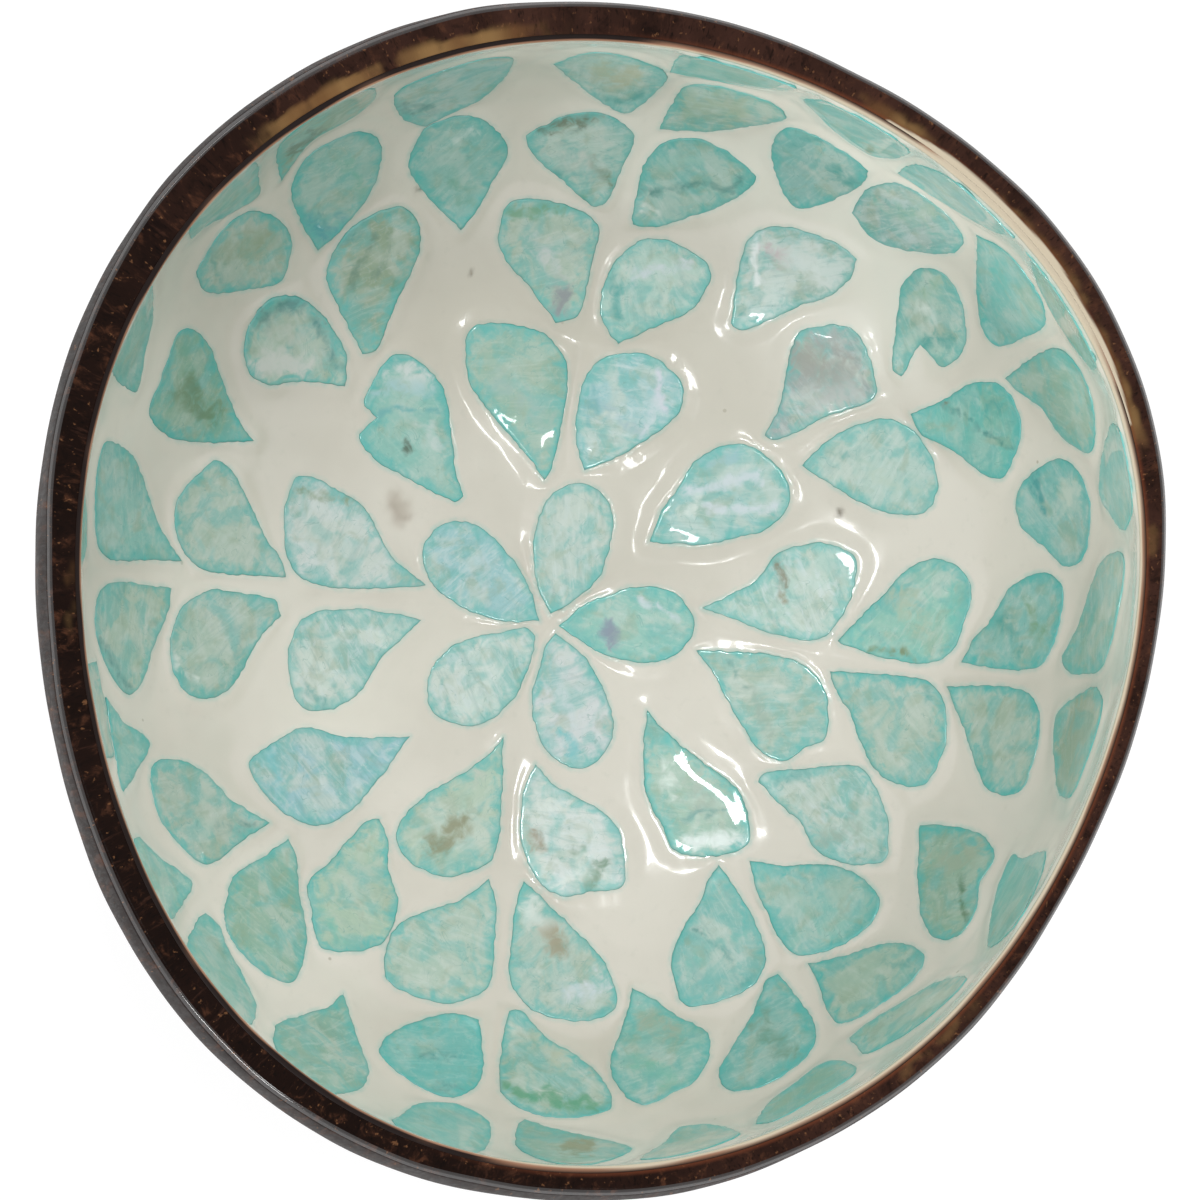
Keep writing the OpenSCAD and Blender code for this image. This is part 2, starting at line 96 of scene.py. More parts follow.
# Degrees of the rings that round the lip and the worn edge, radii of those under the foot, and number
# of those across the rim, to both sides of its inner edge
LIP_ANGLES = (25, 50, 70, 90)
WEAR_ANGLES = (15, 30, 45, 60, 75, 90)
FOOT_RADII = (4, 9, 14, 18, 19.4)
TOP_RINGS = 13
TOP_MARGIN = 0.12
TOP_LAP = 0.01

# Where the face, the lining's back and the shell's inside start near the axis, in quarter turns, how far
# the last two end below the rim, and how far the inside dips in its middle
QUARTER_TURN = math.pi / 2
FACE_START = 0.9985
BACK_START = 0.95
INSIDE_START = 0.93
BACK_DROP = 0.6
INSIDE_DROP = 0.8
INSIDE_DIP = 0.1

# The search for the lining's face, and the point over the bowl's middle that each pearl faces
SEARCH_REACH = 9.0
HALVINGS = 26
FOCUS = np.array([0, 0, 50])

# Gap between lining and shell, where the mosaic's reach ends, and how far the lacquer's waves stay off
# the mosaic, its relief off the lip, and the shell's dents off its foot
CLEARANCE = 0.02
FAR_OFF = 9.0
WAVE_FADE = 0.8
LIP_FADE = 1.2
FOOT_CALM = 6

# Uneven surfaces, edges and colours, as waves of a height, a wavelength and a seed each
RAGGED = ((0.07, 1.5, 31), (0.07, 4.0, 32))
LACQUER_WAVES = ((0.06, 15, 3), (0.018, 6, 4))
SHELL_DENTS = ((0.16, 34, 11), (0.05, 11, 12))
DARK_WAVES = ((0.05, 9, 41),)
BEVEL_WAVES = ((0.25, 11, 22),)
TAN_WAVES = ((0.3, 5, 21), (0.25, 1.8, 23))

# Radius and stretch of the fibres' pattern on the shell
GRAIN_RADIUS = 68
GRAIN_STRETCH = 0.16

# The photograph's view
LEAN_LEFT = math.radians(7)
LEAN_FRONT = math.radians(1.5)
VIEW_DISTANCE = 2 * BELLY_RADIUS * 3.4
MM_PER_PIXEL = 65.4 / 555.5
RIM_PIXEL = (612, 595)
PICTURE = 1200

random = np.random.default_rng(7)


def unit(v):
    return v / np.linalg.norm(v, axis=-1, keepdims=True)


TO_EYE = unit(np.array([-math.tan(LEAN_LEFT), -math.tan(LEAN_FRONT), 1.0]))
EYE = np.array([0, 0, HEIGHT]) + VIEW_DISTANCE * TO_EYE
RIGHT = unit(np.cross([0, 1, 0], TO_EYE))
UP = np.cross(TO_EYE, RIGHT)


def to_picture(points):
    """The photograph's pixels of points in millimetres."""
    v = points - EYE
    depth = -(v @ TO_EYE) / VIEW_DISTANCE * MM_PER_PIXEL
    return np.stack([RIM_PIXEL[0] + (v @ RIGHT) / depth, RIM_PIXEL[1] - (v @ UP) / depth], -1)


def linear(colour):
    """A linear colour from one written as it looks, in 0 to 255."""
    c = np.asarray(colour, float) / 255
    return np.where(c <= 0.04045, c / 12.92, ((c + 0.055) / 1.055) ** 2.4)


def smooth(t):
    t = np.clip(t, 0, 1)
    return t * t * (3 - 2 * t)


def ramp(value, start, end):
    """Zero up to the start, one from the end on, and smooth between them."""
    return smooth((value - start) / (end - start))


def ripple(points, wavelength, seed, count=9):
    """A smooth random height between about -1 and 1, with bumps about a wavelength wide."""
    pick = np.random.default_rng(seed)
    total = np.zeros(len(points))
    for _ in range(count):
        way = unit(pick.normal(size=3)) * 2 * math.pi / (wavelength * pick.uniform(0.7, 1.5))
        total += np.sin(points @ way + pick.uniform(0, 2 * math.pi))
    return total / math.sqrt(count)


def waves(points, rows):
    return sum(height * ripple(points, wavelength, seed) for height, wavelength, seed in rows)


# The bowl's surfaces

def lobe_sum(angle):
    return sum(share * np.cos(count * (angle - math.radians(first))) for count, share, first in LOBES)


def lobed(radius, angle):
    return radius * (1 + radius / BELLY_RADIUS * lobe_sum(angle))


def mean_of(radius, angle):
    """The mean radius of the ring through a point: lobed, the other way round."""
    return 2 * radius / (1 + np.sqrt(1 + 4 * radius / BELLY_RADIUS * lobe_sum(angle)))


def polar(points):
    """Each point's angle round the bowl, and the mean radius of its ring."""
    angle = np.arctan2(points[:, 1], points[:, 0])
    return angle, mean_of(np.hypot(points[:, 0], points[:, 1]), angle)


def neck_radius(surface, z):
    return surface[0] - TURN_IN * ((z - BELLY_HEIGHT) / BELLY_DROP) ** 2


RIM_OUTER, RIM_INNER, RIM_FACE = [neck_radius(surface, HEIGHT) for surface in (OUTSIDE, HOLLOW, FACE)]


def basin_ring(surface, angle):
    out, down = math.cos(angle) ** (2 / POWER), math.sin(angle) ** (2 / POWER)
    return surface[0] * out, BELLY_HEIGHT - surface[1] * down


def lengths(line):
    """How far each point of a line lies from its start, along the line."""
    return np.concatenate([[0], np.cumsum(np.linalg.norm(np.diff(line, axis=0), axis=1))])


def profile(surface, lowest_angle, top, spacing):
    """Evenly spaced (mean radius, height) pairs of a surface, from the bottom up."""
    line = [basin_ring(surface, lowest_angle * i / BASIN_STEPS) for i in range(BASIN_STEPS, 0, -1)]
    line += [(neck_radius(surface, z), z) for z in np.linspace(BELLY_HEIGHT, top, NECK_STEPS)]
    line = np.array(line)
    way = lengths(line)
    even = np.linspace(0, way[-1], int(way[-1] / spacing) + 2)
    return [(np.interp(w, way, line[:, 0]), np.interp(w, way, line[:, 1])) for w in even]


def face_level(points):
    """Below zero in the hollow inside the lining's face, and above zero in the wall."""
    _, radius = polar(points)
    drop = np.maximum(BELLY_HEIGHT - points[:, 2], 0)
    basin = (radius / FACE[0]) ** POWER + (drop / FACE[1]) ** POWER - 1
    neck = (radius / neck_radius(FACE, np.maximum(points[:, 2], BELLY_HEIGHT))) ** POWER - 1
    return np.where(points[:, 2] > BELLY_HEIGHT, neck, basin)


def onto_face(points, up):
    """The points of the lining's face straight below or above the given points, along up."""
    low = np.full(len(points), -SEARCH_REACH)
    high = np.full(len(points), SEARCH_REACH)
    for _ in range(HALVINGS):
        middle = (low + high) / 2
        inside = face_level(points + middle[:, None] * up) < 0
        high = np.where(inside, middle, high)
        low = np.where(inside, low, middle)
    return points + high[:, None] * up


def face_normals(points):
    step = 0.02
    slope = [
        face_level(points + step * axis) - face_level(points - step * axis)
        for axis in np.eye(3)
    ]
    return -unit(np.stack(slope, -1))


# Outlines

def edge_distance(points, loop):
    """Distance of plane points from a closed loop."""
    a, b = loop, np.roll(loop, -1, axis=0)
    run = b - a
    from_a = points[:, None, :] - a[None]
    share = np.clip((from_a * run).sum(-1) / np.maximum((run * run).sum(-1), 1e-12), 0, 1)
    return np.sqrt(((from_a - share[..., None] * run) ** 2).sum(-1)).min(1)


def is_inside(points, loop):
    x, y = points[:, 0, None], points[:, 1, None]
    x0, y0 = loop[:, 0], loop[:, 1]
    x1, y1 = np.roll(x0, -1), np.roll(y0, -1)
    rise = np.where(y1 == y0, 1e-12, y1 - y0)
    crosses = ((y0 > y) != (y1 > y)) & (x < (x1 - x0) * (y - y0) / rise + x0)
    return crosses.sum(1) % 2 == 1


def outward(loop):
    """The way out of a loop at each of its points."""
    ahead = unit(np.roll(loop, -1, axis=0) - np.roll(loop, 1, axis=0))
    return np.stack([ahead[:, 1], -ahead[:, 0]], -1)


def triangles(plane, count):
    """Points and faces that fill a loop, which is the first points of the plane."""
    loop = [(i, (i + 1) % count) for i in range(count)]
    made = delaunay_2d_cdt([Vector(p) for p in plane.tolist()], loop, [], 1, 1e-6)
    return np.array([list(v) for v in made[0]]), [list(f) for f in made[2]]


def closest(points, others):
    """The number of the nearest of the others to each point."""
    return ((points[:, None] - others[None]) ** 2).sum(-1).argmin(1)


def smooth_loop(points, spacing):
    """An even, smooth loop through the points, with its one corner where they turn most sharply."""
    before, after = points - np.roll(points, 1, axis=0), np.roll(points, -1, axis=0) - points
    corner = int(np.argmin((unit(before) * unit(after)).sum(-1)))
    points = np.roll(points, -corner, axis=0)
    count = len(points)
    slopes = (np.roll(points, -1, axis=0) - np.roll(points, 1, axis=0)) / 2
    leaving, arriving = slopes.copy(), slopes.copy()
    leaving[0] = points[1] - points[0]
    arriving[0] = points[0] - points[-1]
    dense = []
    for i in range(count):
        j = (i + 1) % count
        for t in np.linspace(0, 1, STRETCH_POINTS, endpoint=False):
            dense.append(
                (2 * t ** 3 - 3 * t ** 2 + 1) * points[i] + (t ** 3 - 2 * t ** 2 + t) * leaving[i]
                + (3 * t ** 2 - 2 * t ** 3) * points[j] + (t ** 3 - t ** 2) * arriving[j]
            )
    dense = np.array(dense + [dense[0]])
    way = lengths(dense)
    even = np.linspace(0, way[-1], max(OUTLINE_POINTS, int(way[-1] / spacing)), endpoint=False)
    return np.stack([np.interp(even, way, dense[:, k]) for k in range(2)], -1)


class Pearl:
    """One piece of the mosaic, laid out in its own plane."""

    def __init__(self, rim):
        self.centre = rim.mean(0)
        arms = rim - self.centre
        up = np.cross(arms, np.roll(arms, -1, axis=0)).sum(0)
        if up @ (FOCUS - self.centre) < 0:
            up = -up
        self.up = unit(up)
        flat = arms - np.outer(arms @ self.up, self.up)
        long_way = np.linalg.svd(flat)[2][0]
        self.x = unit(long_way - (long_way @ self.up) * self.up)
        self.y = np.cross(self.up, self.x)
        loop = self.flatten(rim)
        if (loop[:, 0] * np.roll(loop[:, 1], -1) - np.roll(loop[:, 0], -1) * loop[:, 1]).sum() < 0:
            loop = loop[::-1]
        loop = smooth_loop(loop, OUTLINE_SPACING)
        places = np.column_stack([loop, np.full(len(loop), self.centre[0])])
        ragged = waves(places, RAGGED)
        self.loop = loop + ragged[:, None] * outward(loop)
        self.rim = self.raise_up(self.loop)
        self.pixel = to_picture(self.centre[None])[0]

    def flatten(self, points):
        arms = points - self.centre
        return np.stack([arms @ self.x, arms @ self.y], -1)

    def raise_up(self, plane_points):
        """The points of the lining's face over the given points of the plane."""
        points = self.centre + plane_points[:, :1] * self.x + plane_points[:, 1:] * self.y
        return onto_face(points, self.up)


def pearls_of(node):
    """The outlines of a node's solids: the ring of points round each high fan's centre."""
    mesh = bmesh.new()
    mesh.from_mesh(cad_nodes[node].data)
    bmesh.ops.remove_doubles(mesh, verts=mesh.verts, dist=1e-6)
    left = set(mesh.verts)
    found = []
    focus = Vector(FOCUS * MM)
    while left:
        solid, queue = set(), [left.pop()]
        while queue:
            v = queue.pop()
            solid.add(v)
            for e in v.link_edges:
                w = e.other_vert(v)
                if w in left:
                    left.remove(w)
                    queue.append(w)
        centres = sorted(solid, key=lambda v: -len(v.link_edges))[:2]
        top = min(centres, key=lambda v: (v.co - focus).length)
        ring = {e.other_vert(top) for e in top.link_edges}
        v = min(ring, key=lambda w: tuple(w.co))
        order = [v]
        while len(order) < len(ring):
            near = [e.other_vert(order[-1]) for e in order[-1].link_edges]
            ahead = [w for w in near if w in ring and w not in order]
            if not ahead:
                break
            order.append(min(ahead, key=lambda w: tuple(w.co)))
        found.append(np.array([list(v.co) for v in order]) / MM)
    mesh.free()
    found.sort(key=lambda rim: tuple(rim.mean(0)))
    return [Pearl(rim) for rim in found]


mosaic = {
    node: pearls_of(node)
    for node in sorted(cad_nodes) if node not in ("coconut_shell", "lacquer_lining")
}
all_pearls = [pearl for node in sorted(mosaic) for pearl in mosaic[node]]


# Meshes

def link_object(name, data):
    made = bpy.data.objects.new(name, data)
    scene.collection.objects.link(made)
    return made


def new_object(name, points, faces):
    mesh = bpy.data.meshes.new(name)
    mesh.from_pydata((np.asarray(points) * MM).tolist(), [], faces)
    mesh.update()
    mesh.shade_smooth()
    return link_object(name, mesh)


def put_values(piece, name, values):
    """Gives each point of a piece a number, a vector or a colour."""
    kinds = {1: ("FLOAT", "value"), 3: ("FLOAT_VECTOR", "vector"), 4: ("FLOAT_COLOR", "color")}
    kind, field = kinds[values.size // len(values)]
    layer = piece.data.attributes.new(name, kind, "POINT")
    layer.data.foreach_set(field, values.astype(np.float32).ravel())


def turned(rings, count):
    """Points and faces of rings of (mean radius, height, share of the lean), from the first to the last."""
    angle = np.arange(count) * 2 * math.pi / count
    points = []
    for radius, z, lean in rings:
        r = lobed(radius, angle)
        shift = RIM_OFFSET * lean * z / HEIGHT
        x, y = r * np.cos(angle) + shift[0], r * np.sin(angle) + shift[1]
        points.append(np.stack([x, y, np.full(count, z)], -1))
    points = np.concatenate(points)
    i = np.arange(count)
    j = (i + 1) % count
    faces = [
        np.stack([k * count + i, k * count + j, (k + 1) * count + j, (k + 1) * count + i], -1)
        for k in range(len(rings) - 1)
    ]
    return points, np.concatenate(faces).tolist()


def close_ring(points, faces, flats, ring, dip=0.0):
    """Closes the first or the last ring with a fan to its middle, which may dip below it."""
    middle, first = len(points), ring * flats
    line = points[first:first + flats]
    centre = [line[:, 0].mean(), line[:, 1].mean(), line[:, 2].mean() - dip]
    for i in range(flats):
        a, b = first + i, first + (i + 1) % flats
        faces.append([middle, a, b] if ring else [middle, b, a])
    return np.concatenate([points, [centre]])


# Reach and wavelength in pixels, and seed, of the waves by which the listed marks, stains and spots of
# painted light wander
WANDER = ((3.5, 34, 51), (1.8, 13, 53))

# Marks and stains in the mother-of-pearl, read one by one, with one painted highlight among them: from and
# to in the photograph's pixels, half width in pixels, colour as it looks, and strength where it isn't the
# usual one
USUAL_STRENGTH = 0.5
BROWN = (118, 110, 82)
GREEN = (80, 124, 92)
MOSS = (104, 138, 104)
TEAL = (66, 160, 154)
DEEP = (64, 138, 134)
WHITE = (216, 226, 220)
SILVER = (204, 214, 220)
MARKS_AND_PAINTED_HIGHLIGHT = [
    # Spray below the flower
    (432, 848, 458, 828, 13, (132, 134, 98), 0.8), (470, 780, 488, 760, 10, (186, 196, 184)),
    (536, 832, 540, 846, 8, (140, 130, 104), 0.75), (530, 800, 560, 806, 14, WHITE),
    (576, 850, 580, 856, 5, GREEN, 0.6), (606, 860, 588, 888, 6, GREEN, 0.75),
    (560, 880, 580, 870, 12, WHITE), (528, 905, 536, 925, 14, WHITE, 0.7),
    (545, 930, 562, 948, 11, (152, 142, 112), 0.75), (572, 990, 604, 985, 15, SILVER, 0.6),
    (520, 965, 560, 1000, 6, TEAL, 0.4), (440, 1085, 470, 1092, 8, DEEP),
    (510, 1090, 600, 1108, 9, (82, 158, 122), 0.8), (540, 1040, 560, 1060, 14, (182, 192, 170)),
    (568, 1148, 582, 1146, 11, (132, 136, 92), 0.8), (425, 1060, 460, 1050, 8, DEEP, 0.35),
    # Sprays to the lower right
    (690, 770, 704, 800, 14, (158, 176, 162), 0.6), (684, 816, 736, 812, 5, DEEP),
    (690, 842, 744, 838, 9, (222, 232, 230), 0.8), (665, 760, 672, 800, 8, WHITE, 0.4),
    (800, 850, 850, 830, 16, (150, 172, 158)), (776, 782, 800, 776, 9, TEAL, 0.6),
    (700, 925, 735, 965, 5, DEEP), (690, 960, 740, 930, 10, (110, 186, 176), 0.4),
    (800, 900, 850, 890, 14, (160, 194, 180)), (640, 1062, 670, 1080, 12, (112, 186, 166)),
    (640, 1020, 672, 1030, 12, (162, 178, 158), 0.6), (752, 1010, 790, 1060, 12, (112, 154, 134), 0.6),
    (942, 866, 978, 852, 12, (160, 176, 154), 0.7), (962, 880, 966, 920, 6, GREEN, 0.7),
    (838, 985, 880, 960, 10, (158, 186, 168)), (890, 965, 915, 960, 8, TEAL),
    # Sprays to the right
    (775, 566, 782, 582, 6, BROWN, 0.8), (780, 594, 784, 600, 6, (142, 130, 100), 0.7),
    (820, 560, 850, 575, 10, (168, 198, 188)), (750, 690, 772, 735, 8, (148, 172, 158), 0.6),
    (780, 672, 800, 720, 6, (184, 198, 188)), (730, 668, 745, 690, 6, DEEP, 0.3),
    (872, 654, 905, 652, 5, (112, 130, 84), 0.8), (958, 585, 960, 630, 9, (92, 188, 176), 0.6),
    (900, 600, 925, 625, 16, (172, 188, 164)), (1030, 600, 1040, 645, 8, (118, 160, 128), 0.6),
    (1000, 615, 1020, 650, 8, TEAL), (930, 690, 935, 760, 8, TEAL, 0.35),
    (935, 400, 1005, 446, 4, DEEP, 0.6), (985, 400, 1010, 420, 12, TEAL),
    (948, 398, 950, 403, 5, BROWN, 0.6), (1036, 472, 1040, 505, 6, (46, 150, 150), 0.75),
    (1066, 486, 1074, 510, 12, (196, 210, 198), 0.7), (860, 470, 910, 490, 14, (178, 200, 186)),
    (820, 455, 860, 450, 10, TEAL, 0.35), (804, 360, 834, 372, 26, (150, 152, 144), 0.85),
    (812, 400, 850, 392, 12, (186, 194, 192)), (925, 345, 945, 335, 10, TEAL, 0.6),
    (912, 300, 935, 318, 5, WHITE, 0.6), (905, 290, 950, 285, 10, (150, 186, 160)),
    (995, 265, 1000, 310, 9, (88, 184, 176), 0.6),
    # Sprays to the upper right
    (690, 490, 760, 478, 7, SILVER, 0.9), (705, 512, 770, 505, 6, SILVER, 0.8),
    (676, 520, 700, 500, 6, WHITE, 0.6), (700, 462, 740, 455, 6, (150, 190, 196)),
    # The white mark from (757, 232) to (752, 284) on the next line is a painted highlight
    (772, 252, 780, 262, 9, (192, 164, 172), 0.65), (757, 232, 752, 284, 4, (232, 238, 238), 0.9),
    (800, 262, 830, 285, 14, (212, 222, 218), 0.7), (745, 315, 760, 300, 8, TEAL, 0.4),
    (796, 138, 828, 136, 8, TEAL, 0.6), (830, 175, 855, 180, 9, TEAL, 0.6),
    (868, 148, 872, 151, 4, MOSS, 0.8), (870, 195, 940, 240, 8, (110, 184, 172), 0.4),
    (905, 215, 940, 205, 12, (164, 190, 170)),
    # Spray above the flower
    (655, 372, 664, 408, 6, (214, 214, 226), 0.8), (600, 400, 640, 440, 8, (150, 182, 192)),
    (590, 380, 600, 430, 6, (84, 170, 172)), (640, 445, 660, 400, 5, SILVER, 0.6),
    (630, 280, 690, 262, 7, SILVER, 0.6), (612, 270, 616, 320, 6, TEAL),
    (512, 212, 580, 206, 8, (100, 158, 124), 0.75), (540, 245, 556, 268, 13, (200, 206, 204), 0.7),
    (562, 292, 558, 312, 12, (134, 140, 146), 0.7), (534, 124, 592, 118, 9, (98, 106, 80), 0.85),
    (596, 160, 610, 185, 7, (96, 124, 96), 0.6), (572, 158, 590, 166, 12, (202, 208, 200), 0.6),
    (545, 160, 560, 180, 8, TEAL), (640, 192, 742, 184, 5, (78, 142, 136), 0.6),
    (655, 165, 700, 158, 9, (150, 194, 182)), (640, 206, 662, 214, 4, WHITE, 0.8),
    (600, 70, 630, 80, 14, (176, 182, 150), 0.7), (610, 98, 640, 100, 6, TEAL, 0.7),
    (690, 104, 740, 112, 14, (168, 186, 160)), (470, 345, 540, 352, 6, TEAL, 0.35),
    (500, 380, 540, 420, 16, (150, 182, 174)),
    # Sprays to the upper left
    (376, 392, 430, 388, 10, (160, 200, 204), 0.6), (392, 366, 418, 372, 12, (210, 218, 216), 0.7),
    (364, 413, 446, 411, 3, (96, 172, 172), 0.8), (426, 428, 440, 452, 9, (196, 210, 206), 0.7),
    (408, 443, 410, 449, 4, (56, 76, 52), 0.9), (372, 240, 350, 290, 5, (96, 136, 116), 0.6),
    (390, 236, 378, 276, 5, (104, 140, 122)), (350, 235, 365, 225, 8, TEAL),
    (440, 150, 480, 128, 5, WHITE, 0.4), (455, 180, 470, 205, 10, (110, 168, 148)),
    (258, 316, 300, 300, 10, DEEP, 0.8), (316, 318, 334, 362, 8, DEEP, 0.6),
    (264, 364, 306, 366, 13, (204, 208, 202), 0.9), (278, 330, 292, 338, 12, (184, 196, 184), 0.6),
    (186, 392, 206, 412, 17, MOSS, 0.8), (176, 360, 190, 350, 10, (112, 170, 148)),
    (304, 222, 338, 232, 12, (62, 158, 168), 0.8), (345, 165, 360, 190, 10, (110, 180, 160)),
    (292, 150, 322, 134, 8, (84, 112, 92), 0.75), (225, 250, 260, 245, 18, (150, 166, 140), 0.6),
    (214, 262, 222, 282, 8, TEAL, 0.4), (400, 110, 430, 104, 7, DEEP),
    # Spray to the left, and the flower
    (300, 492, 350, 500, 7, (122, 146, 112), 0.6), (300, 530, 340, 560, 10, (196, 206, 196)),
    (172, 656, 192, 680, 4, WHITE, 0.8), (100, 640, 130, 690, 6, DEEP),
    (110, 600, 125, 590, 7, TEAL, 0.4), (205, 788, 208, 842, 6, (184, 200, 188), 0.6),
    (158, 836, 176, 866, 6, TEAL, 0.6), (225, 826, 246, 826, 8, DEEP),
    (262, 745, 280, 790, 8, (110, 192, 196)), (300, 690, 320, 702, 6, TEAL),
    (320, 912, 350, 945, 8, (98, 184, 168)), (340, 880, 372, 862, 14, (176, 196, 180)),
    (602, 628, 616, 642, 8, (126, 136, 158), 0.8), (630, 600, 676, 616, 5, SILVER, 0.6),
    (560, 735, 574, 752, 9, (92, 186, 190), 0.6), (556, 690, 574, 720, 9, (200, 212, 214)),
    (490, 545, 480, 590, 6, (186, 206, 212)), (560, 520, 580, 545, 8, (196, 208, 200)),
]

# Tones of pieces, each with a place in the photograph within TONE_REACH of the piece's middle. A piece
# without one is AQUA, and the silvery tones have more lustre
AQUA = (138, 190, 180)
TURQUOISE = (108, 184, 176)
SAGE = (140, 178, 156)
PALE = (170, 192, 176)
GREY = (158, 170, 168)
BLUE = (152, 196, 198)
OLIVE = (140, 164, 138)
ICE = (176, 202, 194)
FROST = (202, 214, 210)
SILVERY = (BLUE, ICE, FROST, GREY)
TONE_REACH = 40
TONES = [
    (605, 72, ICE), (735, 65, TURQUOISE), (720, 105, SAGE), (690, 178, TURQUOISE), (578, 150, ICE),
    (318, 130, OLIVE), (240, 250, PALE), (370, 275, OLIVE), (550, 255, PALE), (655, 285, ICE),
    (795, 270, FROST), (910, 215, ICE), (930, 320, ICE), (825, 380, GREY), (970, 430, TURQUOISE),
    (1060, 400, SAGE), (875, 465, ICE), (725, 495, BLUE), (520, 395, SAGE), (630, 410, BLUE),
    (295, 340, PALE), (195, 385, SAGE), (220, 515, PALE), (340, 535, FROST), (130, 630, PALE),
    (220, 640, PALE), (350, 655, FROST), (325, 775, BLUE), (205, 810, PALE), (262, 910, SAGE),
    (350, 885, PALE), (455, 815, PALE), (440, 945, PALE), (570, 830, FROST), (560, 965, PALE),
    (555, 1080, PALE), (430, 1050, TURQUOISE), (325, 1040, SAGE), (775, 1040, TURQUOISE), (865, 980, PALE),
    (830, 815, ICE), (700, 790, SAGE), (955, 880, SAGE), (1015, 905, TURQUOISE), (900, 725, PALE),
    (995, 740, PALE), (1075, 745, OLIVE), (775, 700, PALE), (790, 590, ICE), (1105, 610, SAGE),
    (575, 545, ICE), (572, 700, FROST), (480, 675, FROST), (480, 575, BLUE), (857, 124, TURQUOISE),
    (136, 343, TURQUOISE), (87, 528, OLIVE), (98, 705, PALE), (907, 1019, PALE), (806, 1096, SAGE),
    (691, 1145, SAGE), (561, 1147, SAGE), (1067, 312, OLIVE),
]

# Clouds, stains and specks in the lacquer, written as above. The first eight are broad and even out its
# brightness: the five paler ones are painted light, and the three darker ones are beige clouds of the
# lacquer and painted shade
STAINS_AND_PAINTED_LIGHT_AND_SHADE = [
    (450, 320, 640, 320, 95, (186, 180, 164)), (640, 460, 740, 420, 60, (186, 180, 164), 0.28),
    (850, 190, 890, 300, 75, (248, 246, 236), 0.6), (600, 150, 740, 165, 50, (248, 246, 236), 0.45),
    (230, 560, 300, 700, 85, (244, 240, 228), 0.38), (330, 730, 430, 640, 60, (244, 240, 228), 0.25),
    (130, 330, 130, 420, 60, (244, 240, 228), 0.4), (560, 1090, 700, 1080, 60, (190, 186, 170), 0.3),
    (396, 506, 402, 516, 8, (150, 132, 116), 0.55), (838, 510, 838, 514, 3, (96, 84, 66), 0.8),
    (418, 190, 418, 193, 3, (110, 96, 76), 0.7), (468, 270, 468, 273, 3, (110, 96, 76), 0.7),
    (240, 520, 262, 430, 10, (202, 198, 184), 0.35), (395, 498, 404, 502, 6, (160, 146, 128), 0.4),
]

# Paint near the rim. A ramp is where a colour starts and is in full. DARK_EDGE is how much of the lining's
# top stays cream, and how much more on the right. TAN lists patches of the husk side: first and last
# degree, and strength
RIM_ZONE = 0.45
TOP_ZONE = 0.2
DARK_EDGE = (0.12, 0.3)
DARK_RAMP = (0, 0.15)
WARM_RAMP = (-0.22, -0.02)
WARM_FULL = 0.8
LIP_RAMP = (-0.9, -0.2)
BEVEL_WIDTH = 0.6
LEAST_BEVEL = 0.05
BEVEL_ANGLES = (16, 30, 50, 62)
CREAM_RAMP = (0, 0.2)
LINE_RAMP = (0.05, 0.55)
TAN = [
    (96, 114, 0.8), (112, 128, 0.9), (54, 64, 0.7), (30, 46, 0.6), (14, 30, 0.7),
    (2, 9, 0.4), (176, 184, 0.3), (300, 312, 0.4),
]
TAN_COLOUR = (134, 104, 66)
# Shares of the rim's width, of half a patch's length, of its strength, and of how much paler the shell
# grows towards the upper right
TAN_ACROSS = (0.25, 0.7)
TAN_ALONG = (0.4, 1.3)
TAN_RAMP = (0, 0.7)
PALER_TOWARDS = math.radians(25)
PALER_RAMP = (-0.75, 0.35)
PALER_LEAST = 0.15


def bevel(angle):
    """Width of the rim's inner edge that lacquer runs over, at the upper right."""
    degrees = np.degrees(angle) % 360
    return BEVEL_WIDTH * ramp(degrees, *BEVEL_ANGLES[:2]) * (1 - ramp(degrees, *BEVEL_ANGLES[2:]))


def right_side(angle):
    """One on the right of the bowl, and zero on the left."""
    return ramp(np.cos(angle + math.radians(8)), -0.25, 0.25)


def colours_of_marks_and_painted_light(pixels, entries):
    """Colour and strength, at the given pixels of the photograph, of listed marks, stains and spots of
    painted light.
    """
    colour = np.zeros((len(pixels), 3))
    strength = np.zeros(len(pixels))
    flat = np.column_stack([pixels, np.zeros(len(pixels))])
    for reach, wavelength, seed in WANDER:
        wander = [ripple(flat, wavelength, seed), ripple(flat, wavelength, seed + 1)]
        pixels = pixels + reach * np.stack(wander, -1)
    for x0, y0, x1, y1, wide, tint, *full in entries:
        a, run = np.array([x0, y0], float), np.array([x1 - x0, y1 - y0], float)
        share = np.clip(((pixels - a) @ run) / max(run @ run, 1e-9), 0, 1)
        away = np.linalg.norm(pixels - a - share[:, None] * run, axis=1)
        amount = (*full, USUAL_STRENGTH)[0] * np.exp(-(away / wide) ** 2)
        under = strength * (1 - amount)
        strength = under + amount
        share = (amount / np.maximum(strength, 1e-9))[:, None]
        colour = colour * (1 - share) + linear(tint) * share
    return np.concatenate([colour, strength[:, None]], 1)


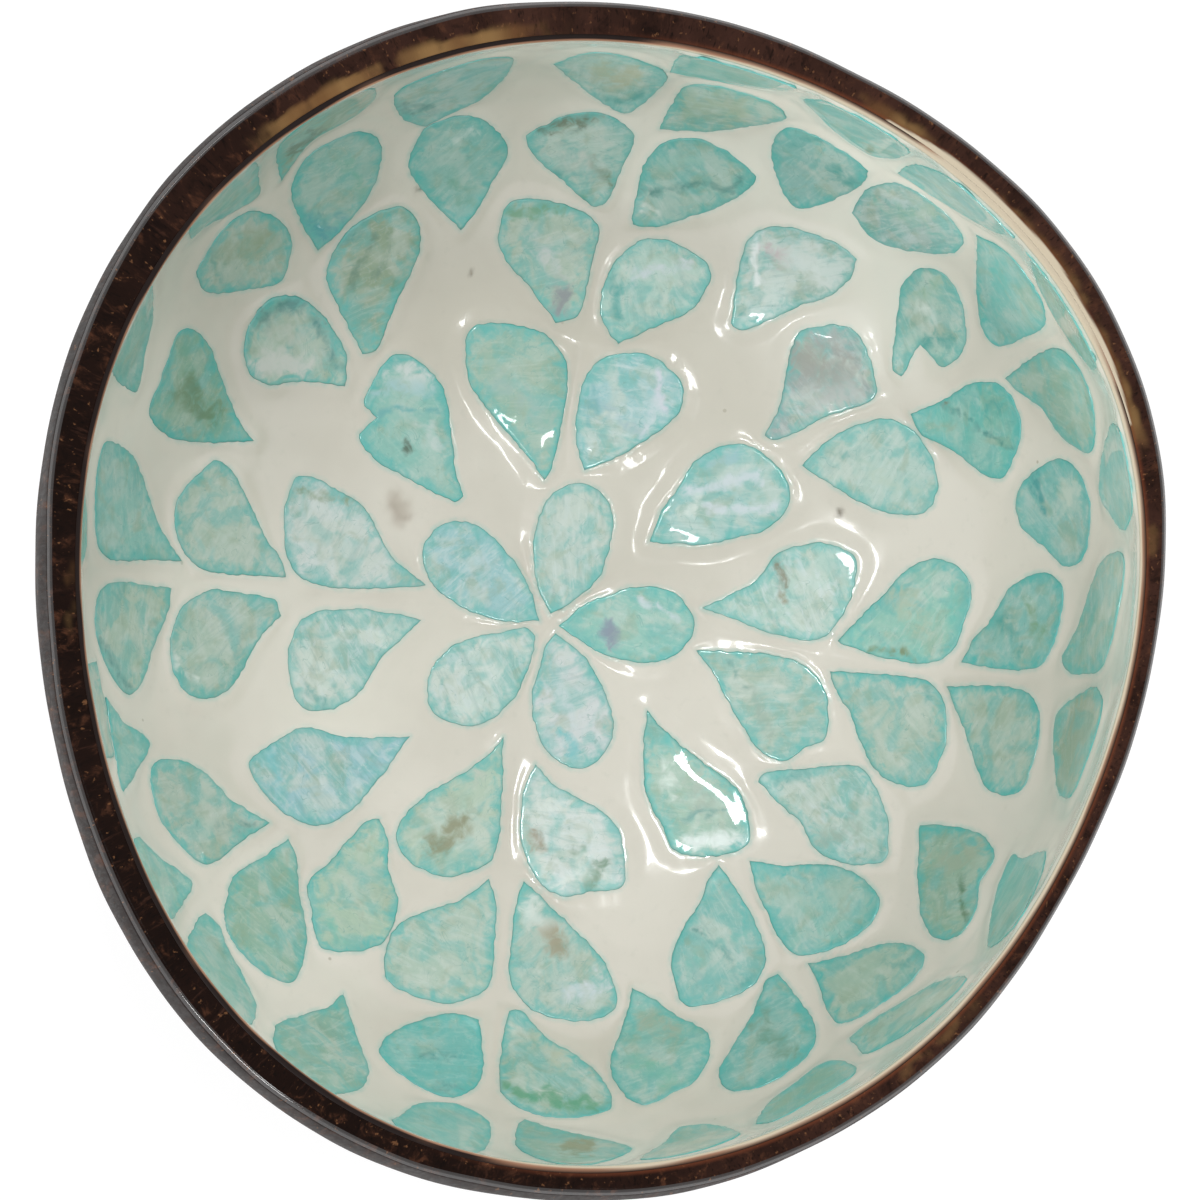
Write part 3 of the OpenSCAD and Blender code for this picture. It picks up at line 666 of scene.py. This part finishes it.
def pearl_mesh(pearl):
    """Points over the face, faces, and the values that the material reads, of one thin plate."""
    loop = pearl.loop
    inner = []
    for away in EDGE_RINGS:
        ring = loop - away * outward(loop)
        inner.append(ring[(edge_distance(ring, loop) > 0.85 * away) & is_inside(ring, loop)])
    low, high = loop.min(0), loop.max(0)
    row_spacing = TOP_SPACING * 0.87
    grid = np.array([
        (x + (row % 2) * TOP_SPACING / 2, y)
        for row, y in enumerate(np.arange(low[1], high[1], row_spacing))
        for x in np.arange(low[0], high[0], TOP_SPACING)
    ])
    grid = grid[is_inside(grid, loop)]
    inner.append(grid[edge_distance(grid, loop) > TOP_START])
    count = len(loop)
    plane, top_faces = triangles(np.concatenate([loop] + inner), count)
    away = edge_distance(plane, loop)
    place = pearl.raise_up(plane)
    normal = face_normals(place)
    bridge = (pearl.centre - place) @ pearl.up
    bridge = np.maximum(bridge - np.median(bridge[away < 0.01]), -0.3)
    lean = random.normal(size=2) * PEARL_TILT
    bow = random.uniform(*PEARL_BOW)
    rounded = np.sqrt(1 - (1 - np.clip(away / PEARL_ROUND, 0, 1)) ** 2)
    lift = (bow * bridge + plane @ lean) * smooth(away / LIFT_WIDTH)
    height = PEARL_EDGE + (PEARL_TOP - PEARL_EDGE) * rounded + np.clip(lift, *PEARL_LIFT)
    points = place + height[:, None] * normal
    # The side goes down into the lacquer from the outline, and a low face closes it
    first = len(points)
    side_low = pearl.rim + PEARL_SIDE_LOW * face_normals(pearl.rim)
    near = closest(loop, plane)
    faces = top_faces + [
        [int(near[i]), first + i, first + (i + 1) % count, int(near[(i + 1) % count])]
        for i in range(count)
    ]
    low_plane, low_faces = triangles(loop, count)
    back = closest(low_plane, loop)
    faces += [[first + int(back[k]) for k in reversed(f)] for f in low_faces]
    points = np.concatenate([points, side_low])
    away = np.concatenate([away, np.zeros(count)])
    plane = np.concatenate([plane, loop])
    return points, faces, away, plane


def pearl_object(node, pearls):
    points, faces, away, grain, tone = [], [], [], [], []
    first = 0
    for pearl in pearls:
        p, f, a, plane = pearl_mesh(pearl)
        points.append(p)
        faces += [[first + k for k in face] for face in f]
        away.append(a)
        turn = random.uniform(0, math.pi)
        cos, sin = math.cos(turn), math.sin(turn)
        turned_plane = plane @ np.array([[cos, -sin], [sin, cos]])
        shift = random.uniform(0, 400, size=3)
        grain.append(np.column_stack([turned_plane, np.zeros(len(plane))]) + shift)
        known = min(TONES, key=lambda t: math.dist(t[:2], pearl.pixel))
        colour = known[2] if math.dist(known[:2], pearl.pixel) < TONE_REACH else AQUA
        lustre = random.uniform(0.5, 1.0) if colour in SILVERY else random.uniform(0, 0.55)
        colour = linear(np.clip(np.array(colour) + random.normal(size=3) * 2 + random.normal() * 2, 0, 255))
        tone.append(np.tile(np.append(colour, lustre), (len(p), 1)))
        first += len(p)
    points = np.concatenate(points)
    piece = new_object(node + "_nacre", points, faces)
    put_values(piece, "edge", np.concatenate(away))
    put_values(piece, "grain", np.concatenate(grain))
    put_values(piece, "tone", np.concatenate(tone))
    # Marks and stains of the pieces, with one painted highlight among them
    put_values(piece, "mark_and_painted_light", colours_of_marks_and_painted_light(to_picture(points), MARKS_AND_PAINTED_HIGHLIGHT))
    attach(piece, "root")
    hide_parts(node)
    return piece


pearl_pieces = [pearl_object(node, mosaic[node]) for node in sorted(mosaic)]


def relief(points):
    """How high the lacquer stands over the lining's face, and how far off the mosaic is."""
    nearest = np.full(len(points), np.inf)
    second = np.full(len(points), np.inf)
    under = np.zeros(len(points), bool)
    for pearl in all_pearls:
        size = np.linalg.norm(pearl.rim - pearl.centre, axis=1).max() + 2 * SKIRT + 1
        near = np.nonzero(np.linalg.norm(points - pearl.centre, axis=1) < size)[0]
        away = np.sqrt(((points[near][:, None] - pearl.rim[None]) ** 2).sum(-1)).min(1)
        inside = is_inside(pearl.flatten(points[near]), pearl.loop)
        away = np.where(inside, 0, away)
        under[near] |= inside
        first = nearest[near]
        second[near] = np.minimum(second[near], np.maximum(first, away))
        nearest[near] = np.minimum(first, away)
    wide = np.clip((nearest + second) / 2, LEAST_SKIRT, SKIRT)
    height = LACQUER_BETWEEN + (LACQUER_AT_PEARL - LACQUER_BETWEEN) * (1 - smooth(nearest / wide))
    return np.where(under, LACQUER_UNDER_PEARL, height), nearest


def rounded_edge(radius, inward, degrees, lean):
    """Rings that round an edge off up to the rim's height, inwards or, below zero, outwards."""
    return [
        (radius - inward * (1 - math.cos(a)), HEIGHT - abs(inward) * (1 - math.sin(a)), lean)
        for a in np.radians(degrees)
    ]


def build_lining():
    """The lining, and the numbers of its faces that make the lip."""
    face_line = profile(FACE, QUARTER_TURN * FACE_START, HEIGHT - LIP_ROUND, FACE_SPACING)
    face_rings = [(r, z, 0) for r, z in face_line]
    lip_rings = rounded_edge(RIM_FACE, -LIP_ROUND, LIP_ANGLES, 0)
    lip_rings.append((RIM_INNER - CLEARANCE, HEIGHT, 0))
    back_line = profile(HOLLOW, QUARTER_TURN * BACK_START, HEIGHT - BACK_DROP, BACK_SPACING)
    back_rings = [(r - CLEARANCE, z, 0) for r, z in reversed(back_line)]
    rings = face_rings + lip_rings + back_rings
    points, faces = turned(rings, LINING_FLATS)
    faces = [f[::-1] for f in faces]
    on_face = points[:len(face_rings) * LINING_FLATS]
    height, nearest = relief(on_face)
    fade = smooth((HEIGHT - LIP_ROUND - on_face[:, 2]) / LIP_FADE)
    rise = (height + waves(on_face, LACQUER_WAVES) * smooth(nearest / WAVE_FADE)) * fade
    on_face += rise[:, None] * face_normals(on_face)
    points = close_ring(points, faces, LINING_FLATS, 0)
    points = close_ring(points, faces, LINING_FLATS, len(rings) - 1)
    made = new_object("lining_skin", points, faces)
    beside = np.full(len(points), FAR_OFF)
    beside[:len(nearest)] = np.minimum(nearest, FAR_OFF)
    put_values(made, "beside", beside)
    # Stains and specks of the lacquer, and its broad clouds of painted light and painted shade
    put_values(made, "mark_and_painted_light", colours_of_marks_and_painted_light(to_picture(points), STAINS_AND_PAINTED_LIGHT_AND_SHADE))
    angle, radius = polar(points)
    near_rim = points[:, 2] > HEIGHT - RIM_ZONE
    dark_from = DARK_EDGE[0] + DARK_EDGE[1] * right_side(angle) + waves(points, DARK_WAVES) + bevel(angle)
    past = radius - RIM_FACE - dark_from
    put_values(made, "dark_edge", ramp(past, *DARK_RAMP) * near_rim)
    put_values(made, "warm", WARM_FULL * ramp(past, *WARM_RAMP) * near_rim)
    put_values(made, "lip", ramp(points[:, 2] - HEIGHT, *LIP_RAMP))
    lip_start = (len(face_rings) - 1) * LINING_FLATS
    return made, range(lip_start, lip_start + (len(lip_rings) + 1) * LINING_FLATS)


def build_shell():
    """The shell, and its first faces of the rubbed-round outer edge and of the rim's top."""
    foot_rings = [(r, 0.0, 0) for r in FOOT_RADII]
    foot_angle = math.acos((FOOT_RADIUS / BELLY_RADIUS) ** (POWER / 2))
    outside_line = profile(OUTSIDE, foot_angle, HEIGHT - RIM_WEAR, OUTSIDE_SPACING)
    outside_rings = [(r, z, 1) for r, z in outside_line]
    worn_rings = rounded_edge(RIM_OUTER, RIM_WEAR, WEAR_ANGLES, 1)
    flat = RIM_OUTER - RIM_WEAR
    top_radii = np.linspace(flat, RIM_INNER + TOP_MARGIN, TOP_RINGS)[1:]
    top_rings = [(r, HEIGHT, (r - RIM_INNER) / (flat - RIM_INNER)) for r in top_radii]
    top_rings.append((RIM_INNER - TOP_LAP, HEIGHT, 0))
    inside_line = profile(HOLLOW, QUARTER_TURN * INSIDE_START, HEIGHT - INSIDE_DROP, INSIDE_SPACING)
    inside_rings = [(r + CLEARANCE, z, 0) for r, z in reversed(inside_line)]
    rings = foot_rings + outside_rings + worn_rings + top_rings + inside_rings
    points, faces = turned(rings, SHELL_FLATS)
    lean = np.array([ring[2] for ring in rings]).repeat(SHELL_FLATS)
    dent = waves(points, SHELL_DENTS) * (smooth(points[:, 2] / FOOT_CALM) * lean)
    points = points + dent[:, None] * unit(points * (1, 1, 0) + (0, 0, 1e-6))
    points = close_ring(points, faces, SHELL_FLATS, 0)
    points = close_ring(points, faces, SHELL_FLATS, len(rings) - 1, INSIDE_DIP)
    made = new_object("shell_body", points, faces)
    # Fibres run from the foot to the rim and across the rim
    way = lengths(np.array([ring[:2] for ring in rings]))
    way = np.append(way.repeat(SHELL_FLATS), [0, way[-1]])
    angle, _ = polar(points)
    round_way = GRAIN_RADIUS * np.cos(angle), GRAIN_RADIUS * np.sin(angle)
    put_values(made, "grain", np.column_stack([*round_way, way * GRAIN_STRETCH]))
    paint_shell(made, points)
    edge_start = (len(foot_rings) + len(outside_rings) - 1) * SHELL_FLATS
    return made, edge_start, edge_start + (len(worn_rings) - 1) * SHELL_FLATS


def paint_shell(piece, points):
    """Tan patches, lacquer over the rim's inner edge, a warm line there, and a colour that grows paler
    towards the upper right.
    """
    angle, radius = polar(points)
    degrees = np.degrees(angle) % 360
    from_edge = radius - RIM_INNER
    top_side = (points[:, 2] > HEIGHT - TOP_ZONE) * 1.0
    inner_side = 1 - ramp(from_edge / (RIM_OUTER - RIM_INNER), *TAN_ACROSS)
    level = np.zeros(len(points))
    for start, end, full in TAN:
        half = (end - start) / 2
        along = 1 - ramp(np.abs(degrees - (start + end) / 2), TAN_ALONG[0] * half, TAN_ALONG[1] * half)
        level = np.maximum(level, full * along * inner_side * top_side)
    level *= ramp(level + waves(points, TAN_WAVES), *TAN_RAMP)
    bevel_width = bevel(angle) * (1 + waves(points, BEVEL_WAVES))
    past = from_edge - bevel_width
    cream = (1 - ramp(past, *CREAM_RAMP)) * top_side * (bevel_width > LEAST_BEVEL)
    warm = (1 - ramp(past, *LINE_RAMP)) * top_side * right_side(angle) * (1 - cream)
    put_values(piece, "patch", np.column_stack([np.tile(linear(TAN_COLOUR), (len(points), 1)), level]))
    # The shell grows paler towards the upper right
    paler_share = ramp(np.cos(angle - PALER_TOWARDS), *PALER_RAMP)
    put_values(piece, "worn", PALER_LEAST + (1 - PALER_LEAST) * paler_share)
    put_values(piece, "cream", cream)
    put_values(piece, "warm", warm)


lining, lip_faces = build_lining()
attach(lining, "root")
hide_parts("lacquer_lining")

shell, edge_start, rim_start = build_shell()
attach(shell, "root")
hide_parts("coconut_shell")


# Materials

class Nodes:
    """A node tree, built one node at a time."""

    def __init__(self, tree):
        self.tree = tree

    def add(self, kind, **settings):
        made = self.tree.nodes.new("ShaderNode" + kind)
        for key, value in settings.items():
            setattr(made, key, value)
        return made

    def feed(self, socket, value):
        if isinstance(value, bpy.types.NodeSocket):
            self.tree.links.new(value, socket)
        elif value is not None:
            if socket.type == "RGBA" and len(value) == 3:
                value = (*value, 1)
            socket.default_value = value

    def join(self, kind, *values, **settings):
        """The first output of a new node, fed through its first sockets."""
        made = self.add(kind, **settings)
        for socket, value in zip(made.inputs, values):
            self.feed(socket, value)
        return made.outputs[0]

    def own(self, node, **values):
        """Sets sockets of a node by their names, with _ for a space."""
        for name, value in values.items():
            node.inputs[name.replace("_", " ")].default_value = value

    def attribute(self, name, part="Fac"):
        return self.add("Attribute", attribute_name=name, attribute_type="GEOMETRY").outputs[part]

    def scaled(self, vector, scale):
        made = self.add("Mapping")
        self.feed(made.inputs["Vector"], vector)
        self.own(made, Scale=scale)
        return made.outputs["Vector"]

    def noise(self, vector, scale, detail=3.0, roughness=0.5, distortion=0.0):
        made = self.add("TexNoise")
        self.feed(made.inputs["Vector"], vector)
        self.own(made, Scale=scale, Detail=detail, Roughness=roughness, Distortion=distortion)
        return made.outputs["Fac"]

    def spread(self, value, low, high, to_low=0.0, to_high=1.0):
        made = self.add("MapRange", interpolation_type="SMOOTHSTEP")
        self.feed(made.inputs["Value"], value)
        self.own(made, From_Min=low, From_Max=high, To_Min=to_low, To_Max=to_high)
        return made.outputs["Result"]

    def calc(self, operation, *values):
        return self.join("Math", *values, operation=operation)

    def times(self, a, b):
        return self.calc("MULTIPLY", a, b)

    def seen(self):
        """One for what the camera sees, also in metal and through glass."""
        rays = self.add("LightPath").outputs
        either = self.calc("MAXIMUM", rays["Is Camera Ray"], rays["Is Glossy Ray"])
        return self.calc("MAXIMUM", either, rays["Is Transmission Ray"])

    def mix(self, factor, a, b):
        made = self.add("Mix", data_type="RGBA")
        self.feed(made.inputs[0], factor)
        self.feed(made.inputs[6], a)
        self.feed(made.inputs[7], b)
        return made.outputs[2]

    def layer(self, colour, tint, value, low, high, share):
        """The colour under a tint, which comes in as the value goes from low to high."""
        return self.mix(self.spread(value, low, high, 0, share), colour, lit(*tint))

    def bump(self, height, distance, normal=None):
        made = self.add("Bump")
        self.own(made, Distance=distance)
        self.feed(made.inputs["Height"], height)
        self.feed(made.inputs["Normal"], normal)
        return made.outputs["Normal"]


class Shader(Nodes):
    """The node tree of a material."""

    def __init__(self, name):
        self.material = bpy.data.materials.new(name)
        self.material.use_nodes = True
        super().__init__(self.material.node_tree)
        self.tree.nodes.clear()
        self.output = self.add("OutputMaterial")

    def surface(self, colour, roughness, normal=None, **constants):
        made = self.add("BsdfPrincipled")
        self.feed(made.inputs["Base Color"], colour)
        self.feed(made.inputs["Roughness"], roughness)
        self.feed(made.inputs["Normal"], normal)
        self.own(made, **constants)
        self.feed(self.output.inputs["Surface"], made.outputs[0])


def lit(*colour):
    return tuple(linear(colour))


def pearl_material():
    s = Shader("dyed_mother_of_pearl")
    grain = s.attribute("grain", "Vector")
    tone = s.attribute("tone", "Color")
    lustre = s.attribute("tone", "Alpha")
    mark_and_painted_light = s.attribute("mark_and_painted_light", "Color")
    strength = s.attribute("mark_and_painted_light", "Alpha")
    edge = s.attribute("edge")
    # Clouds where the dye took more or less
    dye = s.noise(grain, 0.15, 3, 0.5, 1)
    wash = s.noise(s.scaled(grain, (1, 1, 5)), 0.24, 3, 0.5, 0.8)
    earth = s.noise(s.scaled(grain, (1, 1, 9)), 0.28, 3, 0.5, 0.8)
    mottle = s.noise(grain, 1.1, 5, 0.66, 0.6)
    clouds = s.times(s.spread(dye, 0.41, 0.62, 0, 0.7), s.spread(lustre, 0, 0.8, 0.55, 1))
    colour = s.mix(clouds, tone, lit(194, 206, 196))
    colour = s.layer(colour, (92, 178, 172), wash, 0.44, 0.66, 0.62)
    colour = s.layer(colour, (146, 166, 138), earth, 0.49, 0.7, 0.46)
    colour = s.layer(colour, (208, 216, 208), mottle, 0.5, 0.7, 0.2)
    colour = s.layer(colour, (106, 152, 140), mottle, 0.47, 0.3, 0.17)
    # Growth lines, plain on the brighter pieces and nearly lost on the others
    bands = s.noise(s.scaled(grain, (0.1, 0.46, 1)), 1, 4, 0.58, 2.4)
    clear = s.spread(lustre, 0.2, 0.9, 0.12, 0.25)
    colour = s.mix(s.times(s.spread(bands, 0.51, 0.64), clear), colour, lit(216, 224, 222))
    colour = s.mix(s.times(s.spread(bands, 0.47, 0.34), clear), colour, lit(110, 160, 158))
    # Silvery streaks on the more lustrous pieces are painted sheen of the nacre
    painted_sheen = s.noise(s.scaled(grain, (0.8, 1.2, 7)), 0.4, 4, 0.6, 1.4)
    painted_sheen = s.times(s.spread(painted_sheen, 0.5, 0.66), s.spread(lustre, 0.45, 1, 0, 0.42))
    colour = s.mix(painted_sheen, colour, lit(206, 219, 220))
    # Fine cracks hold more of the dye
    vein = s.noise(s.scaled(grain, (1, 1, 3)), 0.2, 2, 0.5, 2)
    vein = s.spread(s.calc("ABSOLUTE", s.calc("SUBTRACT", vein, 0.5)), 0.01, 0)
    vein = s.times(vein, s.spread(mottle, 0.4, 0.6, 0, 0.45))
    colour = s.mix(vein, colour, lit(84, 150, 142))
    blot = s.noise(s.scaled(grain, (1, 1, 11)), 0.55, 4, 0.55, 0.8)
    # The listed marks and stains, with one painted highlight among them, broken up by blots
    patchy = s.calc("ADD", strength, s.times(s.calc("SUBTRACT", blot, 0.5), 1.8))
    patchy = s.times(s.spread(patchy, 0.05, 0.95), s.spread(strength, 0.02, 0.3))
    colour = s.mix(s.times(patchy, 0.85), colour, mark_and_painted_light)
    # The dye is strongest where it soaked in from the edges
    soaked = s.calc("ADD", edge, s.times(s.calc("SUBTRACT", blot, 0.5), 6))
    soaked = s.times(s.spread(soaked, 1.9, -0.9), s.spread(lustre, 0, 0.9, 0.95, 0.72))
    colour = s.mix(soaked, colour, lit(78, 180, 174))
    line = s.times(s.spread(edge, 0.55, 0), s.spread(blot, 0.4, 0.62, 0.06, 0.46))
    colour = s.mix(line, colour, lit(84, 168, 164))
    normal = s.bump(s.noise(grain, 0.2, 1, 0.4), 0.00006)
    normal = s.bump(bands, 0.000015, normal)
    normal = s.bump(mottle, 0.000008, normal)
    s.surface(colour, s.spread(mottle, 0.3, 0.7, 0.28, 0.42), normal,
              Metallic=0.08, Coat_Weight=1, Coat_Roughness=0.04)
    return s.material


def lacquer_material(name, coat, **constants):
    s = Shader(name)
    place = s.scaled(s.add("TexCoord").outputs["Object"], (1000, 1000, 1000))
    cloud = s.noise(place, 0.035, 3, 0.55)
    fine = s.noise(place, 0.6, 4, 0.6)
    colour = s.mix(s.spread(cloud, 0.35, 0.65), lit(208, 202, 190), lit(221, 215, 204))
    colour = s.layer(colour, (194, 192, 180), fine, 0.55, 0.75, 0.18)
    specks = s.add("TexVoronoi", feature="F1")
    s.feed(specks.inputs["Vector"], place)
    s.own(specks, Scale=0.11)
    colour = s.layer(colour, (150, 140, 116), specks.outputs["Distance"], 0.035, 0.02, 0.5)
    beside = s.attribute("beside")
    halo = s.times(s.spread(beside, 0.8, 0, 0, 0.5), s.spread(fine, 0.36, 0.62, 0.25, 1))
    colour = s.mix(halo, colour, lit(140, 196, 188))
    # Stains and specks, and the broad clouds of painted light and painted shade
    colour = s.mix(s.attribute("mark_and_painted_light", "Alpha"), colour, s.attribute("mark_and_painted_light", "Color"))
    colour = s.mix(s.attribute("lip"), colour, lit(190, 178, 156))
    colour = s.mix(s.attribute("warm"), colour, lit(132, 78, 50))
    colour = s.mix(s.attribute("dark_edge"), colour, lit(24, 14, 11))
    normal = s.bump(s.noise(place, 0.1, 2, 0.4), 0.00012)
    normal = s.bump(fine, 0.000006, normal)
    s.surface(colour, s.spread(fine, 0.3, 0.7, *coat), normal, **constants)
    return s.material


def shell_colour(s, tones, stretch):
    """Fibres, pores and patches of the shell, and the bump under them."""
    grain = s.attribute("grain", "Vector")
    fibre = s.noise(grain, 1.5, 5, 0.65, 0.4)
    broad = s.noise(grain, 0.12, 3, 0.5)
    pores = s.noise(s.scaled(grain, (1, 1, 2.2)), 3.6, 2, 0.5)
    dark, pale, thread = tones
    # Dark to pale in broad clouds and towards the upper right
    worn = s.times(s.spread(broad, 0.3, 0.65, 0.4, 1), s.attribute("worn"))
    colour = s.mix(worn, lit(*dark), lit(*pale))
    mottle = s.noise(s.scaled(grain, (1, 1, stretch)), 0.55, 4, 0.65, 0.5)
    colour = s.layer(colour, (86, 54, 38), mottle, 0.52, 0.74, 0.55)
    colour = s.layer(colour, (12, 7, 6), mottle, 0.48, 0.3, 0.6)
    colour = s.layer(colour, thread, fibre, 0.56, 0.8, 0.5)
    colour = s.layer(colour, (10, 7, 6), pores, 0.42, 0.28, 0.7)
    fleck = s.noise(s.scaled(grain, (1, 1, stretch)), 1.5, 3, 0.6)
    colour = s.layer(colour, (122, 84, 56), fleck, 0.63, 0.72, 0.6)
    husk = s.mix(s.spread(broad, 0.35, 0.7), s.attribute("patch", "Color"), lit(96, 66, 40))
    colour = s.mix(s.attribute("patch", "Alpha"), colour, husk)
    colour = s.mix(s.times(s.attribute("warm"), 0.55), colour, lit(104, 56, 36))
    colour = s.mix(s.attribute("cream"), colour, lit(190, 178, 156))
    normal = s.bump(broad, 0.0003)
    return colour, fibre, s.bump(fibre, 0.00004, normal)


def shell_material(name, tones, rough, stretch, **constants):
    s = Shader(name)
    colour, fibre, normal = shell_colour(s, tones, stretch)
    s.surface(colour, s.spread(fibre, 0.3, 0.7, *rough), normal, **constants)
    return s.material


def dress(piece, *materials):
    for material in materials:
        piece.data.materials.append(material)


nacre = pearl_material()
for piece in pearl_pieces:
    dress(piece, nacre)
dress(lining,
      lacquer_material("cream_lacquer", (0.14, 0.22), Coat_Weight=0.5, Coat_Roughness=0.03),
      lacquer_material("lacquer_lip", (0.5, 0.6), Specular_IOR_Level=0.12))
for k, polygon in enumerate(lining.data.polygons):
    polygon.material_index = int(k in lip_faces)
dress(
    shell,
    shell_material("polished_coconut_shell", ((24, 15, 12), (42, 27, 22), (78, 54, 40)), (0.5, 0.64), 0.7,
                   Specular_IOR_Level=0.03, Coat_Weight=0.08, Coat_Roughness=0.12, Coat_IOR=1.2),
    shell_material("coconut_shell_edge", ((18, 10, 8), (34, 21, 17), (70, 48, 38)), (0.35, 0.5), 4,
                   Specular_IOR_Level=0.05, Coat_Weight=0.9, Coat_Roughness=0.1, Coat_IOR=1.6),
    shell_material("coconut_shell_rim", ((14, 7, 5), (56, 35, 28), (74, 48, 38)), (0.45, 0.6), 5,
                   Specular_IOR_Level=0.02, Coat_Weight=0.02, Coat_Roughness=0.1))
for k, polygon in enumerate(shell.data.polygons):
    polygon.material_index = 0 if k < edge_start else 1 if k < rim_start else 2


# Floor, world, lamps and camera

def floor_material():
    s = Shader("studio_floor")
    plain = s.join("BsdfDiffuse", (0.82, 0.82, 0.81))
    shaded = s.join("BsdfDiffuse", (0.3, 0.3, 0.3))
    glowing = s.join("AddShader", shaded, s.join("Emission", (1, 1, 1), 0.76))
    s.feed(s.output.inputs["Surface"], s.join("MixShader", s.seen(), plain, glowing))
    return s.material


FLOOR_REACH = 3000
corners = np.array([(-1, -1, 0), (1, -1, 0), (1, 1, 0), (-1, 1, 0)]) * FLOOR_REACH
floor = new_object("studio_floor", corners, [(0, 1, 2, 3)])
dress(floor, floor_material())

# The room is brighter towards its front left and its back right, and white where it is seen
SKY_MEAN = 0.94
SKY_CORNERS = 2.2
SKY_BACK = 0.38
SKY_LEAST = 0.3
world = bpy.data.worlds.new("studio_world")
world.use_nodes = True
scene.world = world
sky = Nodes(world.node_tree)
parts = sky.add("SeparateXYZ")
sky.feed(parts.inputs[0], sky.add("TexCoord").outputs["Generated"])
right_way, back_way = parts.outputs["X"], parts.outputs["Y"]
glow = sky.calc("MULTIPLY_ADD", sky.times(right_way, back_way), SKY_CORNERS, SKY_MEAN)
glow = sky.calc("ADD", glow, sky.times(back_way, SKY_BACK))
glow = sky.calc("MAXIMUM", glow, SKY_LEAST)
strength = sky.add("Mix")
sky.feed(strength.inputs[0], sky.seen())
sky.feed(strength.inputs[2], glow)
strength.inputs[3].default_value = 1.0
background = sky.tree.nodes["Background"]
sky.own(background, Color=(1, 1, 1, 1))
sky.feed(background.inputs["Strength"], strength.outputs[0])


# Lamps stand this far from a point inside the bowl, in metres
LAMP_DISTANCE = 1.0
LAMP_AIM = Vector((0, 0, 0.02))


def lamp(name, tilt, azimuth, width, depth, power):
    """An area lamp, so many degrees off the vertical and so many round the bowl."""
    data = bpy.data.lights.new(name, "AREA")
    data.shape = "RECTANGLE"
    data.size, data.size_y = width, depth
    data.energy = power
    made = link_object(name, data)
    t, a = math.radians(tilt), math.radians(azimuth)
    aim = Vector((math.sin(t) * math.cos(a), math.sin(t) * math.sin(a), math.cos(t)))
    made.location = aim * LAMP_DISTANCE + LAMP_AIM
    made.rotation_euler = aim.to_track_quat("Z", "Y").to_euler()


lamp("small_back", 27, 105, 0.12, 0.1, 1.2)
lamp("small_front", 21, -72, 0.035, 0.12, 0.32)
lamp("small_top", 9, -140, 0.09, 0.045, 0.26)
lamp("small_left", 30, 185, 0.08, 0.08, 0.55)
lamp("small_front_left", 47, 238, 0.07, 0.11, 0.5)
lamp("low_front_left", 77, 231, 0.34, 0.07, 3.2)
lamp("low_back_left", 77, 130, 0.3, 0.1, 0.9)

lens = bpy.data.cameras.new("photo_camera")
SENSOR = 36
lens.sensor_width = SENSOR
lens.lens = SENSOR * VIEW_DISTANCE / (PICTURE * MM_PER_PIXEL)
lens.shift_x = (PICTURE / 2 - RIM_PIXEL[0]) / PICTURE
lens.shift_y = (RIM_PIXEL[1] - PICTURE / 2) / PICTURE
lens.clip_start = 0.02
lens.clip_end = 50
camera = link_object("photo_camera", lens)
axes = Matrix((RIGHT, UP, TO_EYE)).transposed().to_4x4()
camera.matrix_world = Matrix.Translation(Vector(EYE * MM)) @ axes
scene.camera = camera
scene.view_settings.view_transform = "Standard"

bpy.context.view_layer.update()
